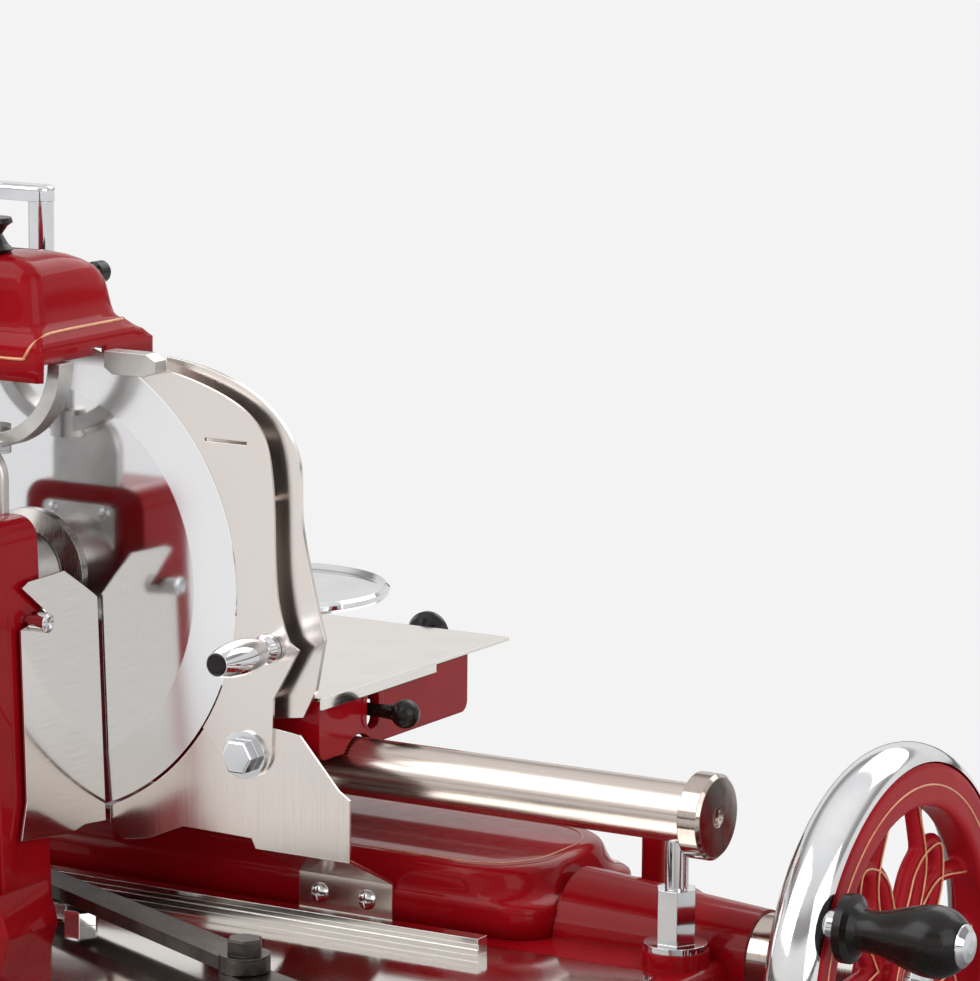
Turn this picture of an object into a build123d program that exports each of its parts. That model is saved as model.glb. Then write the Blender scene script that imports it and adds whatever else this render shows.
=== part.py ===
from build123d import *
from math import acos, atan2, cos, degrees, hypot, pi, radians, sin, sqrt, tan
import os

# Hand crank meat slicer with a flywheel, a round blade and a sliding meat carriage.
# All lengths are millimetres. The model is drawn about the centre of the blade:
# +X runs along the guide tube to the flywheel, +Y from the blade to the meat table, +Z up.
# place() then moves it so that the origin is on the floor, under the middle of the machine.

# ---------------------------------------------------------------- blade and column
BLADE_R = 150.0
BLADE_BEVEL_R = 120.0
BLADE_FRONT = 1.0
BLADE_BACK = 3.0
BLADE_EDGE_GAP = 2.0
HUB_R = 28.0
HUB_BACK = -9.0
CARRIER_R = 40.0
BLADE_SHAFT_R = 9.0
FLANGE_HALF_W = 27.0
FLANGE_HALF_H = 36.0
FLANGE_T = 7.0
COLUMN_BACK = -57.0
COLUMN_SPLIT = -90.0
COLUMN_FRONT = -104.0
COLUMN_TOP = 47.0
COLUMN_HALF_W = 46.0
COLUMN_TAPER = 0.04
COLUMN_FLARE = 9.0
FLARE_SETBACK = 6.0
CASE_HALF_W = 37.0
CASE_BACK_WALL = 9.0
COVER_WALL = 5.0
CREST_R = 25.0
CREST_TOP = 92.0
CREST_T = 8.0

# ---------------------------------------------------------------- base and tray
FLOOR_Z = -365.0
FOOT_H = 20.0
FOOT_R = 22.0
FOOT_INSET = 42.0
BASE_LEFT = -235.0
BASE_RIGHT = 445.0
BASE_FRONT = -300.0
BASE_BACK = 235.0
BASE_WALL = 10.0
BASE_CORNER_R = 38.0
NOTCH_X = 366.0
NOTCH_Y = 175.0
DECK_Z = -202.0
TRAY_T = 2.0
TRAY_RIGHT = 428.0
TRAY_LEFT = -222.0
TRAY_FRONT = -288.0
TRAY_BACK = 30.0
TRAY_CORNER_R = 14.0
RAIL_LEFT = -20.0
RAIL_RIGHT = 318.0
RAIL_Y = 10.0
RAIL_W = 11.0
RAIL_H = 10.5
RAIL_GROOVE = 3.0
HEX_BOLT_R = 11.0
HEX_BOLT_H = 9.0
HEX_BOLT_X = 75.0
HEX_BOLT_Y = -57.0

# ---------------------------------------------------------------- gear case and drive
CASE_LEFT = -70.0
CASE_RIGHT = 330.0
CASE_FRONT = 51.0
CASE_BACK = 190.0
CASE_TOP = -161.0
CASE_WALL = 6.0
CASE_SHOULDER = -178.0
CASE_STEP = 4.0
CASE_CORNER_R = 46.0
SHAFT_Y = 110.0
SHAFT_Z = -204.6
SHAFT_R = 10.0
CONE_R_IN = 38.0
WEB_T = 14.0
CONE_R_OUT = 28.5
CONE_END = 455.0
BUSH_R = 27.0
BUSH_END = 478.0
FIT = 0.05
GEAR_MODULE = 2.5
DRIVE_TEETH = 26
LAY_TEETH = 16
BEVEL_TEETH = 18
GEAR_W = 12.0
GEAR_BACKLASH = 0.5
DRIVE_GEAR_X = 250.0
LAY_SHAFT_R = 8.0
SPROCKET_TEETH = 14
CHAIN_PITCH = 12.7
CHAIN_Y = -78.0
CHAIN_W = 6.0
CHAIN_T = 5.0
CHAIN_GAP = 0.4

# ---------------------------------------------------------------- flywheel and handle
WHEEL_FACE = 552.0
WHEEL_RIM_X = 535.0
WHEEL_RIM_R = 124.5
RIM_HALF_W = 17.5
RIM_HALF_T = 14.6
RED_FACE_R = 129.0
RED_FACE_T = 22.0
RED_RING_R = 102.0
WHEEL_HUB_R = 27.0
WHEEL_HUB_T = 30.0
SPOKES = 5
SPOKE_START = 51.5
SPOKE_SET = 9.0
SPOKE_W = 10.0
SPOKE_T = 12.0
SPOKE_SPREAD = 25.5
ARCH_TOP_R = 88.0
HANDLE_R = 122.0
HANDLE_ANGLE = 152.0
HANDLE_PIN_R = 6.0
HANDLE_LENGTH = 78.0
GRIP_COLLAR_R = 20.0
GRIP_NECK_R = 12.3
GRIP_TIP_R = 20.4
GRIP_CAP_R = 13.0
HUB_CAP_R = 16.0

# ---------------------------------------------------------------- guide tube and rails
TUBE_Y = 60.0
TUBE_Z = -110.0
TUBE_R = 18.0
TUBE_WALL = 3.0
CAP_R = 25.7
CAP_W = 14.0
CAP_FACE = 448.0
CAP_LEFT_FACE = -228.0
POST_RIGHT = 421.0
POST_LEFT = -201.0
POST_R = 7.0
HEX_POST_R = 12.7
HEX_POST_TOP = -156.0
POST_WASHER_R = 19.0
POST_WASHER_T = 4.0
PAD_TOP = -192.6
PAD_R = 20.0
REAR_Y = 172.0
REAR_Z = -142.0
REAR_R = 8.0
REAR_RIGHT = 385.0
REAR_LEFT = -205.0
REAR_POST_R = 7.5
REAR_POST_RIGHT = 345.0
REAR_POST_LEFT = -190.0

# ---------------------------------------------------------------- carriage and table
CAR_LEFT = -150.0
CAR_RIGHT = 200.0
CAR_FRONT = 15.0
CAR_BACK = 189.0
CAR_TOP = -62.0
CAR_BOTTOM = -99.0
CAR_WALL = 6.0
SADDLE_LEFT = -140.0
SADDLE_RIGHT = 135.0
SADDLE_HALF_W = 24.0
SADDLE_BOTTOM = -134.0
ROLLER_R = 11.0
ROLLER_W = 14.0
ROLLER_X = 25.0
LEVER_Y = 75.0
LEVER_Z = -77.5
LEVER_PIVOT_X = 150.0
LEVER_R = 4.0
LEVER_BALL_R = 9.0
LEVER_REACH = 224.0
SLOT_W = 14.0
SLOT_H = 24.0
TABLE_T = 2.0
TABLE_GAP = 0.5
TABLE_FRONT = 14.0
TABLE_BACK = 236.0
TABLE_RIGHT = 203.0
LIP_DROP = 5.0
LIP_BACK = 146.0
SCREW_X = 110.0
SCREW_Z = -84.0
SCREW_R = 6.0
CRANK_ARM_R = 25.0
FEED_KNOB_R = 15.0
FEED_KNOB_END = 266.0
COLUMN_X1 = -68.0
COLUMN_X2 = -138.0
CLAMP_Y = 105.0
CLAMP_ROD_R = 8.3
CLAMP_TOP = 226.0
CROSSBAR_H = 10.0
CLAMP_ARM_Z = 2.0
CLAMP_ARM_H = 14.0
PLATE_X = 112.0
PLATE_Y = 95.0
PLATE_Z = -16.0
PLATE_R = 75.0
PLATE_T = 4.0
SPINDLE_R = 5.0
PIN_COUNT = 12

# ---------------------------------------------------------------- crank and rod
ROD_BIG_X = 240.0
ROD_BIG_Y = -127.0
ROD_SMALL_X = -86.0
ROD_SMALL_Y = 20.0
CRANK_R = 91.0
ROD_Z = -188.7
ROD_T = 8.0
ROD_END_R = 15.0
ROD_SMALL_R = 9.5
CRANK_T = 7.0
CRANK_SHAFT_R = 10.0
DRIVE_PIN_R = 6.5
OPEN_PIVOT_GAP = 0.5

# ---------------------------------------------------------------- plates at the blade
GUARD_T = 2.0
GUARD_SCALE = BLADE_R / 150.0  # the guard and gauge outlines are drawn round a 150 mm blade
GUARD_BOLT_X = 158.0 * GUARD_SCALE
GUARD_BOLT_Z = -96.0 * GUARD_SCALE
GAUGE_FRONT = 8.0
GAUGE_T = 3.0
KNOB_X = 175.0 * GUARD_SCALE
KNOB_Z = -29.0 * GUARD_SCALE
KNOB_LENGTH = 56.0
KNOB_R = 11.0
FOLD_LEFT = 164.0
FOLD_RIGHT = 231.0
FOLD_TOP = -154.0
FLANGE_TOP = -178.0
FLANGE_BOTTOM = -200.0
SHEET_T = 2.0
SCREW_HEAD_R = 6.5
DEFLECTOR_T = 1.5
DEFLECTOR_GAP = 3.0
THUMB_R = 6.0
THUMB_Y = -71.0
THUMB_Z = -14.0

# ---------------------------------------------------------------- sharpener
COVER_HALF_X = 50.0
COVER_FRONT = -60.0
COVER_BACK = 61.0
COVER_LIP = 139.0
COVER_APRON = 128.0
COVER_STEP = 157.0
COVER_DOME = 203.0
COVER_SHELL = 3.0
YOKE_R = 55.0
YOKE_T = 9.0
YOKE_Y = -40.0
YOKE_W = 14.0
STONE_R = 17.0
STONE_W = 10.0
STONE_Z = 158.0
STONE_Y = 18.0
BUTTON_Z = 178.5
SPOOL_R = 12.0
SPOOL_H = 22.0


# ---------------------------------------------------------------- helpers
def block(x0, x1, y0, y1, z0, z1):
    """Box between two corners."""
    return Pos((x0 + x1) / 2, (y0 + y1) / 2, (z0 + z1) / 2) * Box(x1 - x0, y1 - y0, z1 - z0)


def rod_x(r, x0, x1, y, z):
    """Cylinder along X."""
    return Pos((x0 + x1) / 2, y, z) * Rot(0, 90, 0) * Cylinder(r, x1 - x0)


def rod_y(r, y0, y1, x, z):
    """Cylinder along Y."""
    return Pos(x, (y0 + y1) / 2, z) * Rot(90, 0, 0) * Cylinder(r, y1 - y0)


def rod_z(r, z0, z1, x, y):
    """Cylinder along Z."""
    return Pos(x, y, (z0 + z1) / 2) * Cylinder(r, z1 - z0)


def plate_y(face, y0, y1):
    """Plate from an outline drawn in X and Z, between two Y values."""
    plane = Plane(origin=(0, y1, 0), x_dir=(1, 0, 0), z_dir=(0, -1, 0))
    return extrude(plane * face, y1 - y0)


def plate_x(face, x0, x1):
    """Plate from an outline drawn in Y and Z, between two X values."""
    return extrude(Plane.YZ.offset(x0) * face, x1 - x0)


def plate_z(face, z0, z1):
    """Plate from an outline drawn in X and Y, between two Z values."""
    return extrude(Plane.XY.offset(z0) * face, z1 - z0)


def outline(points):
    """Face inside a closed run of straight lines."""
    return make_face(Polyline(*points, close=True))


def turned_x(points, y, z):
    """Solid of revolution about an X axis from (x, radius) points."""
    face = make_face(Polyline(*points, close=True))
    return Pos(0, y, z) * revolve(face, Axis.X)


def turned_y(points, x, z):
    """Solid of revolution about a Y axis from (radius, y) points."""
    face = make_face(Polyline(*points, close=True))
    return Pos(x, 0, z) * revolve(face, Axis.Y)


def turned_z(points, x, y):
    """Solid of revolution about a Z axis from (radius, z) points."""
    face = Plane.XZ * make_face(Polyline(*points, close=True))
    return Pos(x, y, 0) * revolve(face, Axis.Z)


def hex_z(r, z0, z1, x, y):
    """Hexagonal prism along Z, r to its corners."""
    return Pos(x, y, z0) * extrude(RegularPolygon(r, 6), z1 - z0)


def group(solids):
    """Separate solids that share one node."""
    return Compound(children=list(solids))


def gear_face(teeth, module=GEAR_MODULE, phase=0.0):
    """Spur gear outline with involute flanks; phase turns it, in degrees."""
    pitch_r = module * teeth / 2
    base_r = pitch_r * cos(radians(20))
    tip_r = pitch_r + module
    root_r = pitch_r - 1.25 * module
    half = pi / (2 * teeth) - GEAR_BACKLASH / (2 * pitch_r)
    pressure = tan(radians(20)) - radians(20)
    flank = []
    for i in range(4):
        r = max(base_r, root_r) + (tip_r - max(base_r, root_r)) * i / 3
        roll = acos(base_r / r)
        flank.append((r, half + pressure - (tan(roll) - roll)))
    points = []
    for k in range(teeth):
        mid = radians(phase) + 2 * pi * k / teeth
        side = [(root_r, flank[0][1])] + flank
        run = [(r, mid - a) for r, a in side] + [(r, mid + a) for r, a in reversed(side)]
        points += [(r * cos(a), r * sin(a)) for r, a in run]
    return outline(points)


def column_half(z):
    """Half width of the column at a height: it widens downwards."""
    return COLUMN_HALF_W - COLUMN_TAPER * z


# ---------------------------------------------------------------- worked-out places
LAY_Z = SHAFT_Z - GEAR_MODULE * (DRIVE_TEETH + LAY_TEETH) / 2
BEVEL_R = GEAR_MODULE * BEVEL_TEETH / 2
SPROCKET_R = CHAIN_PITCH / (2 * sin(pi / SPROCKET_TEETH))
TRAY_TOP = DECK_Z + TRAY_T
CLEAR_R = BLADE_R + BLADE_EDGE_GAP
ROD_DX = ROD_SMALL_X - ROD_BIG_X
ROD_DY = ROD_SMALL_Y - ROD_BIG_Y
ROD_LENGTH = hypot(ROD_DX, ROD_DY)
CRANK_X = ROD_BIG_X - CRANK_R * ROD_DX / ROD_LENGTH
CRANK_Y = ROD_BIG_Y - CRANK_R * ROD_DY / ROD_LENGTH
FAR_DX = sqrt((ROD_LENGTH - CRANK_R) ** 2 - (ROD_SMALL_Y - CRANK_Y) ** 2)
STROKE = CRANK_X - FAR_DX - ROD_SMALL_X
REST_ANGLE = degrees(atan2(ROD_DY, ROD_DX))
FAR_ANGLE = degrees(atan2(CRANK_Y - ROD_SMALL_Y, FAR_DX)) + 360
CRANK_TURN = FAR_ANGLE - REST_ANGLE
ROD_SWING = FAR_ANGLE - 180 - REST_ANGLE
HANDLE_Y = SHAFT_Y + HANDLE_R * cos(radians(HANDLE_ANGLE))
HANDLE_Z = SHAFT_Z + HANDLE_R * sin(radians(HANDLE_ANGLE))
HANDLE_END = WHEEL_FACE + 8 + HANDLE_LENGTH
TABLE_TOP = CAR_TOP + TABLE_GAP + TABLE_T
MID_X = (BASE_LEFT + HANDLE_END) / 2
MID_Y = (BASE_FRONT + FEED_KNOB_END) / 2


# ---------------------------------------------------------------- base, tray and gear case
def rounded_block(x0, x1, y0, y1, z0, z1, r):
    """Upright block with round vertical corners."""
    face = Pos((x0 + x1) / 2, (y0 + y1) / 2) * RectangleRounded(x1 - x0, y1 - y0, r)
    return plate_z(face, z0, z1)


def corner_places():
    """Centres of the four feet."""
    left = BASE_LEFT + FOOT_INSET
    front = BASE_FRONT + FOOT_INSET
    back = BASE_BACK - FOOT_INSET
    return [(left, front), (left, back), (BASE_RIGHT - FOOT_INSET, front), (NOTCH_X - FOOT_INSET, back)]


def base_outline():
    """Outline of the base, its rear right corner cut back behind the bearing nose."""
    face = outline([(BASE_LEFT, BASE_FRONT), (BASE_RIGHT, BASE_FRONT), (BASE_RIGHT, NOTCH_Y),
                    (NOTCH_X, NOTCH_Y), (NOTCH_X, BASE_BACK), (BASE_LEFT, BASE_BACK)])
    inner = [v for v in face.vertices() if abs(v.X - NOTCH_X) < 1 and abs(v.Y - NOTCH_Y) < 1]
    face = fillet(inner, BASE_CORNER_R / 2)
    corners = [v for v in face.vertices() if v.X in (BASE_LEFT, BASE_RIGHT) or v.Y == BASE_BACK]
    return fillet(corners, BASE_CORNER_R)


def base_casting():
    bottom = FLOOR_Z + FOOT_H
    face = base_outline()
    body = plate_z(face, bottom, DECK_Z)
    body = fillet(body.edges().group_by(Axis.Z)[-1], 7)
    body -= plate_z(offset(face, -BASE_WALL), bottom, DECK_Z - BASE_WALL)
    body -= block(CASE_LEFT + 20, CASE_RIGHT - 10, CASE_FRONT + 12, CASE_BACK - 12,
                  DECK_Z - BASE_WALL, DECK_Z)
    for x, y in corner_places():
        body += rod_z(FOOT_R + 4, bottom, DECK_Z - BASE_WALL / 2, x, y)
    for x in (POST_LEFT, POST_RIGHT):
        body += rod_z(PAD_R, DECK_Z - BASE_WALL / 2, PAD_TOP, x, TUBE_Y)
    for x in (REAR_POST_LEFT, REAR_POST_RIGHT):
        body += rod_z(REAR_POST_R + 6, DECK_Z - BASE_WALL / 2, DECK_Z + REAR_POST_R, x, REAR_Y)
    body -= nose_shape()
    body -= rod_x(SHAFT_R + 2, CASE_RIGHT - 20, CASE_RIGHT + 1, SHAFT_Y, SHAFT_Z)
    body += rod_z(CRANK_SHAFT_R + 9, DECK_Z - 48, DECK_Z - BASE_WALL / 2, CRANK_X, CRANK_Y)
    body -= rod_z(CRANK_SHAFT_R + FIT, DECK_Z - 50, DECK_Z, CRANK_X, CRANK_Y)
    body -= block(-CASE_HALF_W, CASE_HALF_W, COLUMN_SPLIT + 2, COLUMN_BACK - CASE_BACK_WALL,
                  DECK_Z - BASE_WALL, DECK_Z)
    return body


def nose_shape():
    """Outer shape of the bearing nose: a cone along the flywheel shaft."""
    return turned_x([(CASE_RIGHT, 0), (CONE_END, 0), (CONE_END, CONE_R_OUT), (CASE_RIGHT, CONE_R_IN)],
                    SHAFT_Y, SHAFT_Z)


def shaft_cone():
    """Bearing nose that carries the flywheel shaft out of the base."""
    return nose_shape() - rod_x(SHAFT_R + FIT, CASE_RIGHT, CONE_END, SHAFT_Y, SHAFT_Z)


def bearing_webs():
    """Brackets under the deck that carry the layshaft, the cross shaft and the inner shaft end."""
    low = LAY_Z - 22
    deck = DECK_Z - BASE_WALL
    webs = []
    for x in (60, CASE_RIGHT - 50):
        web = block(x, x + WEB_T, CASE_FRONT + 4, CASE_BACK - 4, low, deck)
        top = min(SHAFT_Z + SHAFT_R + 6, x - 250)
        web += block(x, x + WEB_T, SHAFT_Y - 22, SHAFT_Y + 22, deck - 2, top)
        web -= rod_x(SHAFT_R + FIT, x, x + WEB_T, SHAFT_Y, SHAFT_Z)
        webs.append(web - rod_x(LAY_SHAFT_R + FIT, x, x + WEB_T, SHAFT_Y, LAY_Z))
    for y in (-64, 30):
        web = block(-28, 28, y, y + WEB_T, low, deck)
        webs.append(web - rod_y(LAY_SHAFT_R + FIT, y, y + WEB_T, 0, LAY_Z))
    return group(webs)


def base_feet():
    profile = [(0, FLOOR_Z), (FOOT_R - 2, FLOOR_Z), (FOOT_R, FLOOR_Z + 3), (FOOT_R - 3, FLOOR_Z + FOOT_H),
               (0, FLOOR_Z + FOOT_H)]
    return group(turned_z(profile, x, y) for x, y in corner_places())


def slice_tray():
    tray = rounded_block(TRAY_LEFT, TRAY_RIGHT, TRAY_FRONT, TRAY_BACK, DECK_Z, TRAY_TOP, TRAY_CORNER_R)
    foot = column_half(DECK_Z) + COLUMN_FLARE + FIT
    tray -= block(-foot, foot, COLUMN_FRONT - COLUMN_FLARE - FIT, COLUMN_BACK + FIT,
                  DECK_Z, TRAY_TOP)
    tray -= rod_z(CRANK_SHAFT_R + 1, DECK_Z, TRAY_TOP, CRANK_X, CRANK_Y)
    return tray


def tray_rail():
    top = TRAY_TOP + RAIL_H
    rail = block(RAIL_LEFT, RAIL_RIGHT, RAIL_Y - RAIL_W / 2, RAIL_Y + RAIL_W / 2, TRAY_TOP, top)
    mid = (TRAY_TOP + top) / 2
    rail -= block(RAIL_LEFT, RAIL_RIGHT, RAIL_Y - RAIL_W / 2, RAIL_Y - RAIL_W / 2 + 1,
                  mid - RAIL_GROOVE / 2, mid + RAIL_GROOVE / 2)
    return rail


def case_block(inset, z0, z1, r):
    """Block with the gear case's outline, moved in by inset."""
    return rounded_block(CASE_LEFT + inset, CASE_RIGHT - inset, CASE_FRONT + inset, CASE_BACK - inset,
                         z0, z1, r)


def gear_housing():
    """Cast case with a raised crown, open below."""
    shell = case_block(0, DECK_Z, CASE_SHOULDER, 24)
    shell = fillet(shell.edges().group_by(Axis.Z)[-1], 6)
    crown = case_block(CASE_STEP, CASE_SHOULDER - 1, CASE_TOP, CASE_CORNER_R)
    shell += fillet(crown.edges().group_by(Axis.Z)[-1], 6)
    shell -= case_block(CASE_WALL, DECK_Z, CASE_SHOULDER - CASE_WALL, 18)
    shell -= case_block(CASE_STEP + CASE_WALL, DECK_Z, CASE_TOP - CASE_WALL, CASE_CORNER_R - CASE_WALL)
    shell -= rod_x(SHAFT_R + 2, CASE_RIGHT - 2 * CASE_WALL, CASE_RIGHT, SHAFT_Y, SHAFT_Z)
    return shell


def shaft_bush():
    return turned_x([(CONE_END, SHAFT_R + FIT), (BUSH_END, SHAFT_R + FIT), (BUSH_END, BUSH_R - 4),
                     (BUSH_END - 4, BUSH_R), (CONE_END, BUSH_R)], SHAFT_Y, SHAFT_Z)


# ---------------------------------------------------------------- column, chain and blade bearing
def column_face(inset=0.0):
    """Outline of the column seen from the front."""
    low = column_half(DECK_Z) - inset
    high = column_half(COLUMN_TOP) - inset
    face = outline([(-low, DECK_Z), (low, DECK_Z), (high, COLUMN_TOP - inset), (-high, COLUMN_TOP - inset)])
    return fillet(face.vertices().group_by(Axis.Y)[-1], 14 - inset)


def case_face():
    """Outline of the chain space, round at the top."""
    return Pos(0, DECK_Z / 2) * Rectangle(2 * CASE_HALF_W, -DECK_Z) + Circle(CASE_HALF_W)


def foot_block(y0, y1):
    """Flared foot of the column between two depths."""
    half = column_half(DECK_Z) + COLUMN_FLARE
    foot = block(-half, half, y0, y1, DECK_Z, DECK_Z + 3 * COLUMN_FLARE)
    sides = foot.edges().group_by(Axis.Z)[-1].filter_by(Axis.Y)
    return chamfer(sides, 3 * COLUMN_FLARE - 0.5, COLUMN_FLARE - 0.2)


def blade_column():
    body = plate_y(column_face(), COLUMN_SPLIT, COLUMN_BACK)
    body += foot_block(COLUMN_SPLIT, COLUMN_BACK - FLARE_SETBACK)
    body -= plate_y(case_face(), COLUMN_SPLIT, COLUMN_BACK - CASE_BACK_WALL)
    body -= rod_y(BLADE_SHAFT_R + FIT, COLUMN_SPLIT, COLUMN_BACK, 0, 0)
    return body


def chain_cover():
    body = plate_y(column_face(), COLUMN_FRONT, COLUMN_SPLIT)
    body += plate_y(column_face(4), COLUMN_FRONT - 3, COLUMN_FRONT)
    body += foot_block(COLUMN_FRONT - COLUMN_FLARE, COLUMN_SPLIT)
    body -= plate_y(case_face(), COLUMN_FRONT + COVER_WALL, COLUMN_SPLIT)
    return body


def blade_bearing():
    flange = plate_y(RectangleRounded(2 * FLANGE_HALF_W, 2 * FLANGE_HALF_H, 4),
                     COLUMN_BACK, COLUMN_BACK + FLANGE_T)
    hub = rod_y(HUB_R, COLUMN_BACK + FLANGE_T, HUB_BACK, 0, 0)
    hub = chamfer(hub.edges().group_by(Axis.Y)[-1], 1.5)
    return flange + hub - rod_y(BLADE_SHAFT_R + FIT, COLUMN_BACK, HUB_BACK, 0, 0)


def stadium(r):
    """Chain line about both sprockets, at a radius."""
    return Pos(0, LAY_Z / 2) * Rectangle(2 * r, -LAY_Z) + Circle(r) + Pos(0, LAY_Z) * Circle(r)


def sprocket_face():
    """Chain wheel outline with pointed teeth."""
    tip = SPROCKET_R + 1.2
    points = []
    for k in range(SPROCKET_TEETH):
        mid = 2 * pi * k / SPROCKET_TEETH
        step = pi / SPROCKET_TEETH
        for turn, r in ((-0.55, tip - 5), (-0.2, tip), (0.2, tip), (0.55, tip - 5)):
            points.append((r * cos(mid + turn * step), r * sin(mid + turn * step)))
    return outline(points)


def sprocket(z):
    """Chain wheel on a shaft at a height."""
    wheel = plate_y(Pos(0, z) * sprocket_face(), CHAIN_Y - CHAIN_W / 2, CHAIN_Y + CHAIN_W / 2)
    return wheel


def drive_chain():
    inner = SPROCKET_R + 1.2 + CHAIN_GAP
    face = stadium(inner + CHAIN_T) - stadium(inner)
    return plate_y(face, CHAIN_Y - CHAIN_W / 2, CHAIN_Y + CHAIN_W / 2)


def crest_plate():
    mid = CREST_TOP - CREST_R
    face = Pos(0, (COLUMN_TOP + mid) / 2) * Rectangle(2 * CREST_R, mid - COLUMN_TOP)
    face += Pos(0, mid) * Circle(CREST_R)
    plate = plate_y(face, COLUMN_BACK - CREST_T, COLUMN_BACK)
    plate -= block(-CREST_R, CREST_R, COLUMN_SPLIT, COLUMN_BACK, 0, COLUMN_TOP)
    return fillet(plate.edges().filter_by(GeomType.CIRCLE), 2)


# ---------------------------------------------------------------- flywheel and handle
def flywheel_rim():
    ring = revolve(Pos(WHEEL_RIM_X, WHEEL_RIM_R) * Ellipse(RIM_HALF_W, RIM_HALF_T), Axis.X)
    ring = Pos(0, SHAFT_Y, SHAFT_Z) * ring
    return ring - rod_x(RED_FACE_R, WHEEL_FACE - RED_FACE_T, WHEEL_FACE + 20, SHAFT_Y, SHAFT_Z)


def petal_face(angle):
    """One petal: two arms that part towards the ring, and an arch that crosses them."""
    def at(share, turn):
        r = share * RED_RING_R
        return (r * cos(radians(angle + turn)), r * sin(radians(angle + turn)))
    hub = (WHEEL_HUB_R - 6) / RED_RING_R
    face = Sketch()
    for side in (-1, 1):
        arm = Spline(at(hub, 0), at(0.47, 2 * side), at(0.72, 10 * side), at(1.04, SPOKE_SPREAD * side))
        face += trace(arm, SPOKE_W)
    half = [(hub, 180 / SPOKES), (0.43, 24), (0.61, 19.5), (0.76, 11)]
    run = [at(share, -turn) for share, turn in half] + [at(ARCH_TOP_R / RED_RING_R, 0)]
    run += [at(share, turn) for share, turn in reversed(half)]
    return face + trace(Spline(*run), SPOKE_W)


def flywheel_spider():
    hub = turned_x([(WHEEL_FACE - WHEEL_HUB_T, SHAFT_R), (WHEEL_FACE, SHAFT_R), (WHEEL_FACE, WHEEL_HUB_R),
                    (WHEEL_FACE - WHEEL_HUB_T, WHEEL_HUB_R - 4)], 0, 0)
    body = hub + plate_x(Circle(RED_FACE_R) - Circle(RED_RING_R), WHEEL_FACE - RED_FACE_T, WHEEL_FACE)
    front = WHEEL_FACE - SPOKE_SET
    for k in range(SPOKES):
        petal = petal_face(SPOKE_START + 360 * k / SPOKES) - Circle(SHAFT_R + 2)
        body += plate_x(petal, front - SPOKE_T, front)
    return Pos(0, SHAFT_Y, SHAFT_Z) * body


def hub_cap():
    return turned_x([(WHEEL_FACE, 0), (WHEEL_FACE + 10, 0), (WHEEL_FACE + 9, HUB_CAP_R - 7),
                     (WHEEL_FACE + 5, HUB_CAP_R - 1), (WHEEL_FACE, HUB_CAP_R)], SHAFT_Y, SHAFT_Z)


def flywheel_shaft():
    return rod_x(SHAFT_R, DRIVE_GEAR_X - 2 * GEAR_W, WHEEL_FACE, SHAFT_Y, SHAFT_Z)


def spur(teeth, phase, z, bore):
    """Spur gear on an X shaft."""
    gear = plate_x(gear_face(teeth, phase=phase), DRIVE_GEAR_X - GEAR_W / 2, DRIVE_GEAR_X + GEAR_W / 2)
    return Pos(0, SHAFT_Y, z) * gear - rod_x(bore, DRIVE_GEAR_X - GEAR_W, DRIVE_GEAR_X + GEAR_W, SHAFT_Y, z)


def drive_gear():
    return spur(DRIVE_TEETH, 270, SHAFT_Z, SHAFT_R)


def bevel():
    """Bevel gear along +Z, its large end at the bottom."""
    width = 10
    large = gear_face(BEVEL_TEETH, phase=180 / BEVEL_TEETH)
    small = scale(large, (BEVEL_R - width) / BEVEL_R)
    return loft([large, Pos(0, 0, width) * small], ruled=True) - Cylinder(LAY_SHAFT_R, 4 * width)


def layshaft():
    """Layshaft with its spur gear and bevel pinion."""
    shaft = rod_x(LAY_SHAFT_R, BEVEL_R - 10, CASE_RIGHT - 26, SHAFT_Y, LAY_Z)
    pinion = Pos(BEVEL_R, SHAFT_Y, LAY_Z) * Rot(0, -90, 0) * bevel()
    return shaft + spur(LAY_TEETH, 90 + 180 / LAY_TEETH, LAY_Z, LAY_SHAFT_R) + pinion


def cross_shaft():
    """Shaft under the column with its bevel gear and the lower chain wheel."""
    shaft = rod_y(LAY_SHAFT_R, CHAIN_Y - 8, SHAFT_Y - BEVEL_R + 10, 0, LAY_Z)
    gear = Pos(0, SHAFT_Y - BEVEL_R, LAY_Z) * Rot(-90, 0, 0) * bevel()
    return shaft + sprocket(LAY_Z) + gear


def handle_stub():
    """Pin of the handle with its collar and end cap."""
    x = WHEEL_FACE
    end = HANDLE_END
    return turned_x([(x, 0), (end, 0), (end, 4), (end - 1, GRIP_CAP_R - 4), (end - 4, GRIP_CAP_R - 0.5),
                     (end - 5, GRIP_CAP_R - 0.5), (end - 5, HANDLE_PIN_R), (x + 8, HANDLE_PIN_R),
                     (x + 8, HANDLE_PIN_R + 3), (x, HANDLE_PIN_R + 4)], HANDLE_Y, HANDLE_Z)


def handle_grip():
    x0 = WHEEL_FACE + 8.5
    x1 = HANDLE_END - 5.3
    bore = HANDLE_PIN_R + FIT
    flank = Spline((x0 + 11, GRIP_NECK_R), ((x0 + x1) / 2 - 1, (GRIP_NECK_R + GRIP_TIP_R) / 2 + 0.2),
                   (x1 - 13, GRIP_TIP_R), (x1, GRIP_CAP_R))
    rest = Polyline((x1, GRIP_CAP_R), (x1, bore), (x0, bore), (x0, GRIP_COLLAR_R),
                    (x0 + 5, GRIP_COLLAR_R), (x0 + 7, GRIP_NECK_R + 3), (x0 + 11, GRIP_NECK_R))
    edges = Curve() + [rest, flank]
    return Pos(0, HANDLE_Y, HANDLE_Z) * revolve(make_face(edges), Axis.X)


# ---------------------------------------------------------------- blade
def blade():
    return turned_y([(BLADE_SHAFT_R, -BLADE_FRONT), (BLADE_BEVEL_R, -BLADE_FRONT), (BLADE_R, 0),
                     (BLADE_R - 5, BLADE_BACK - 1), (BLADE_BEVEL_R, BLADE_BACK),
                      (BLADE_SHAFT_R, BLADE_BACK)], 0, 0)


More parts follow.
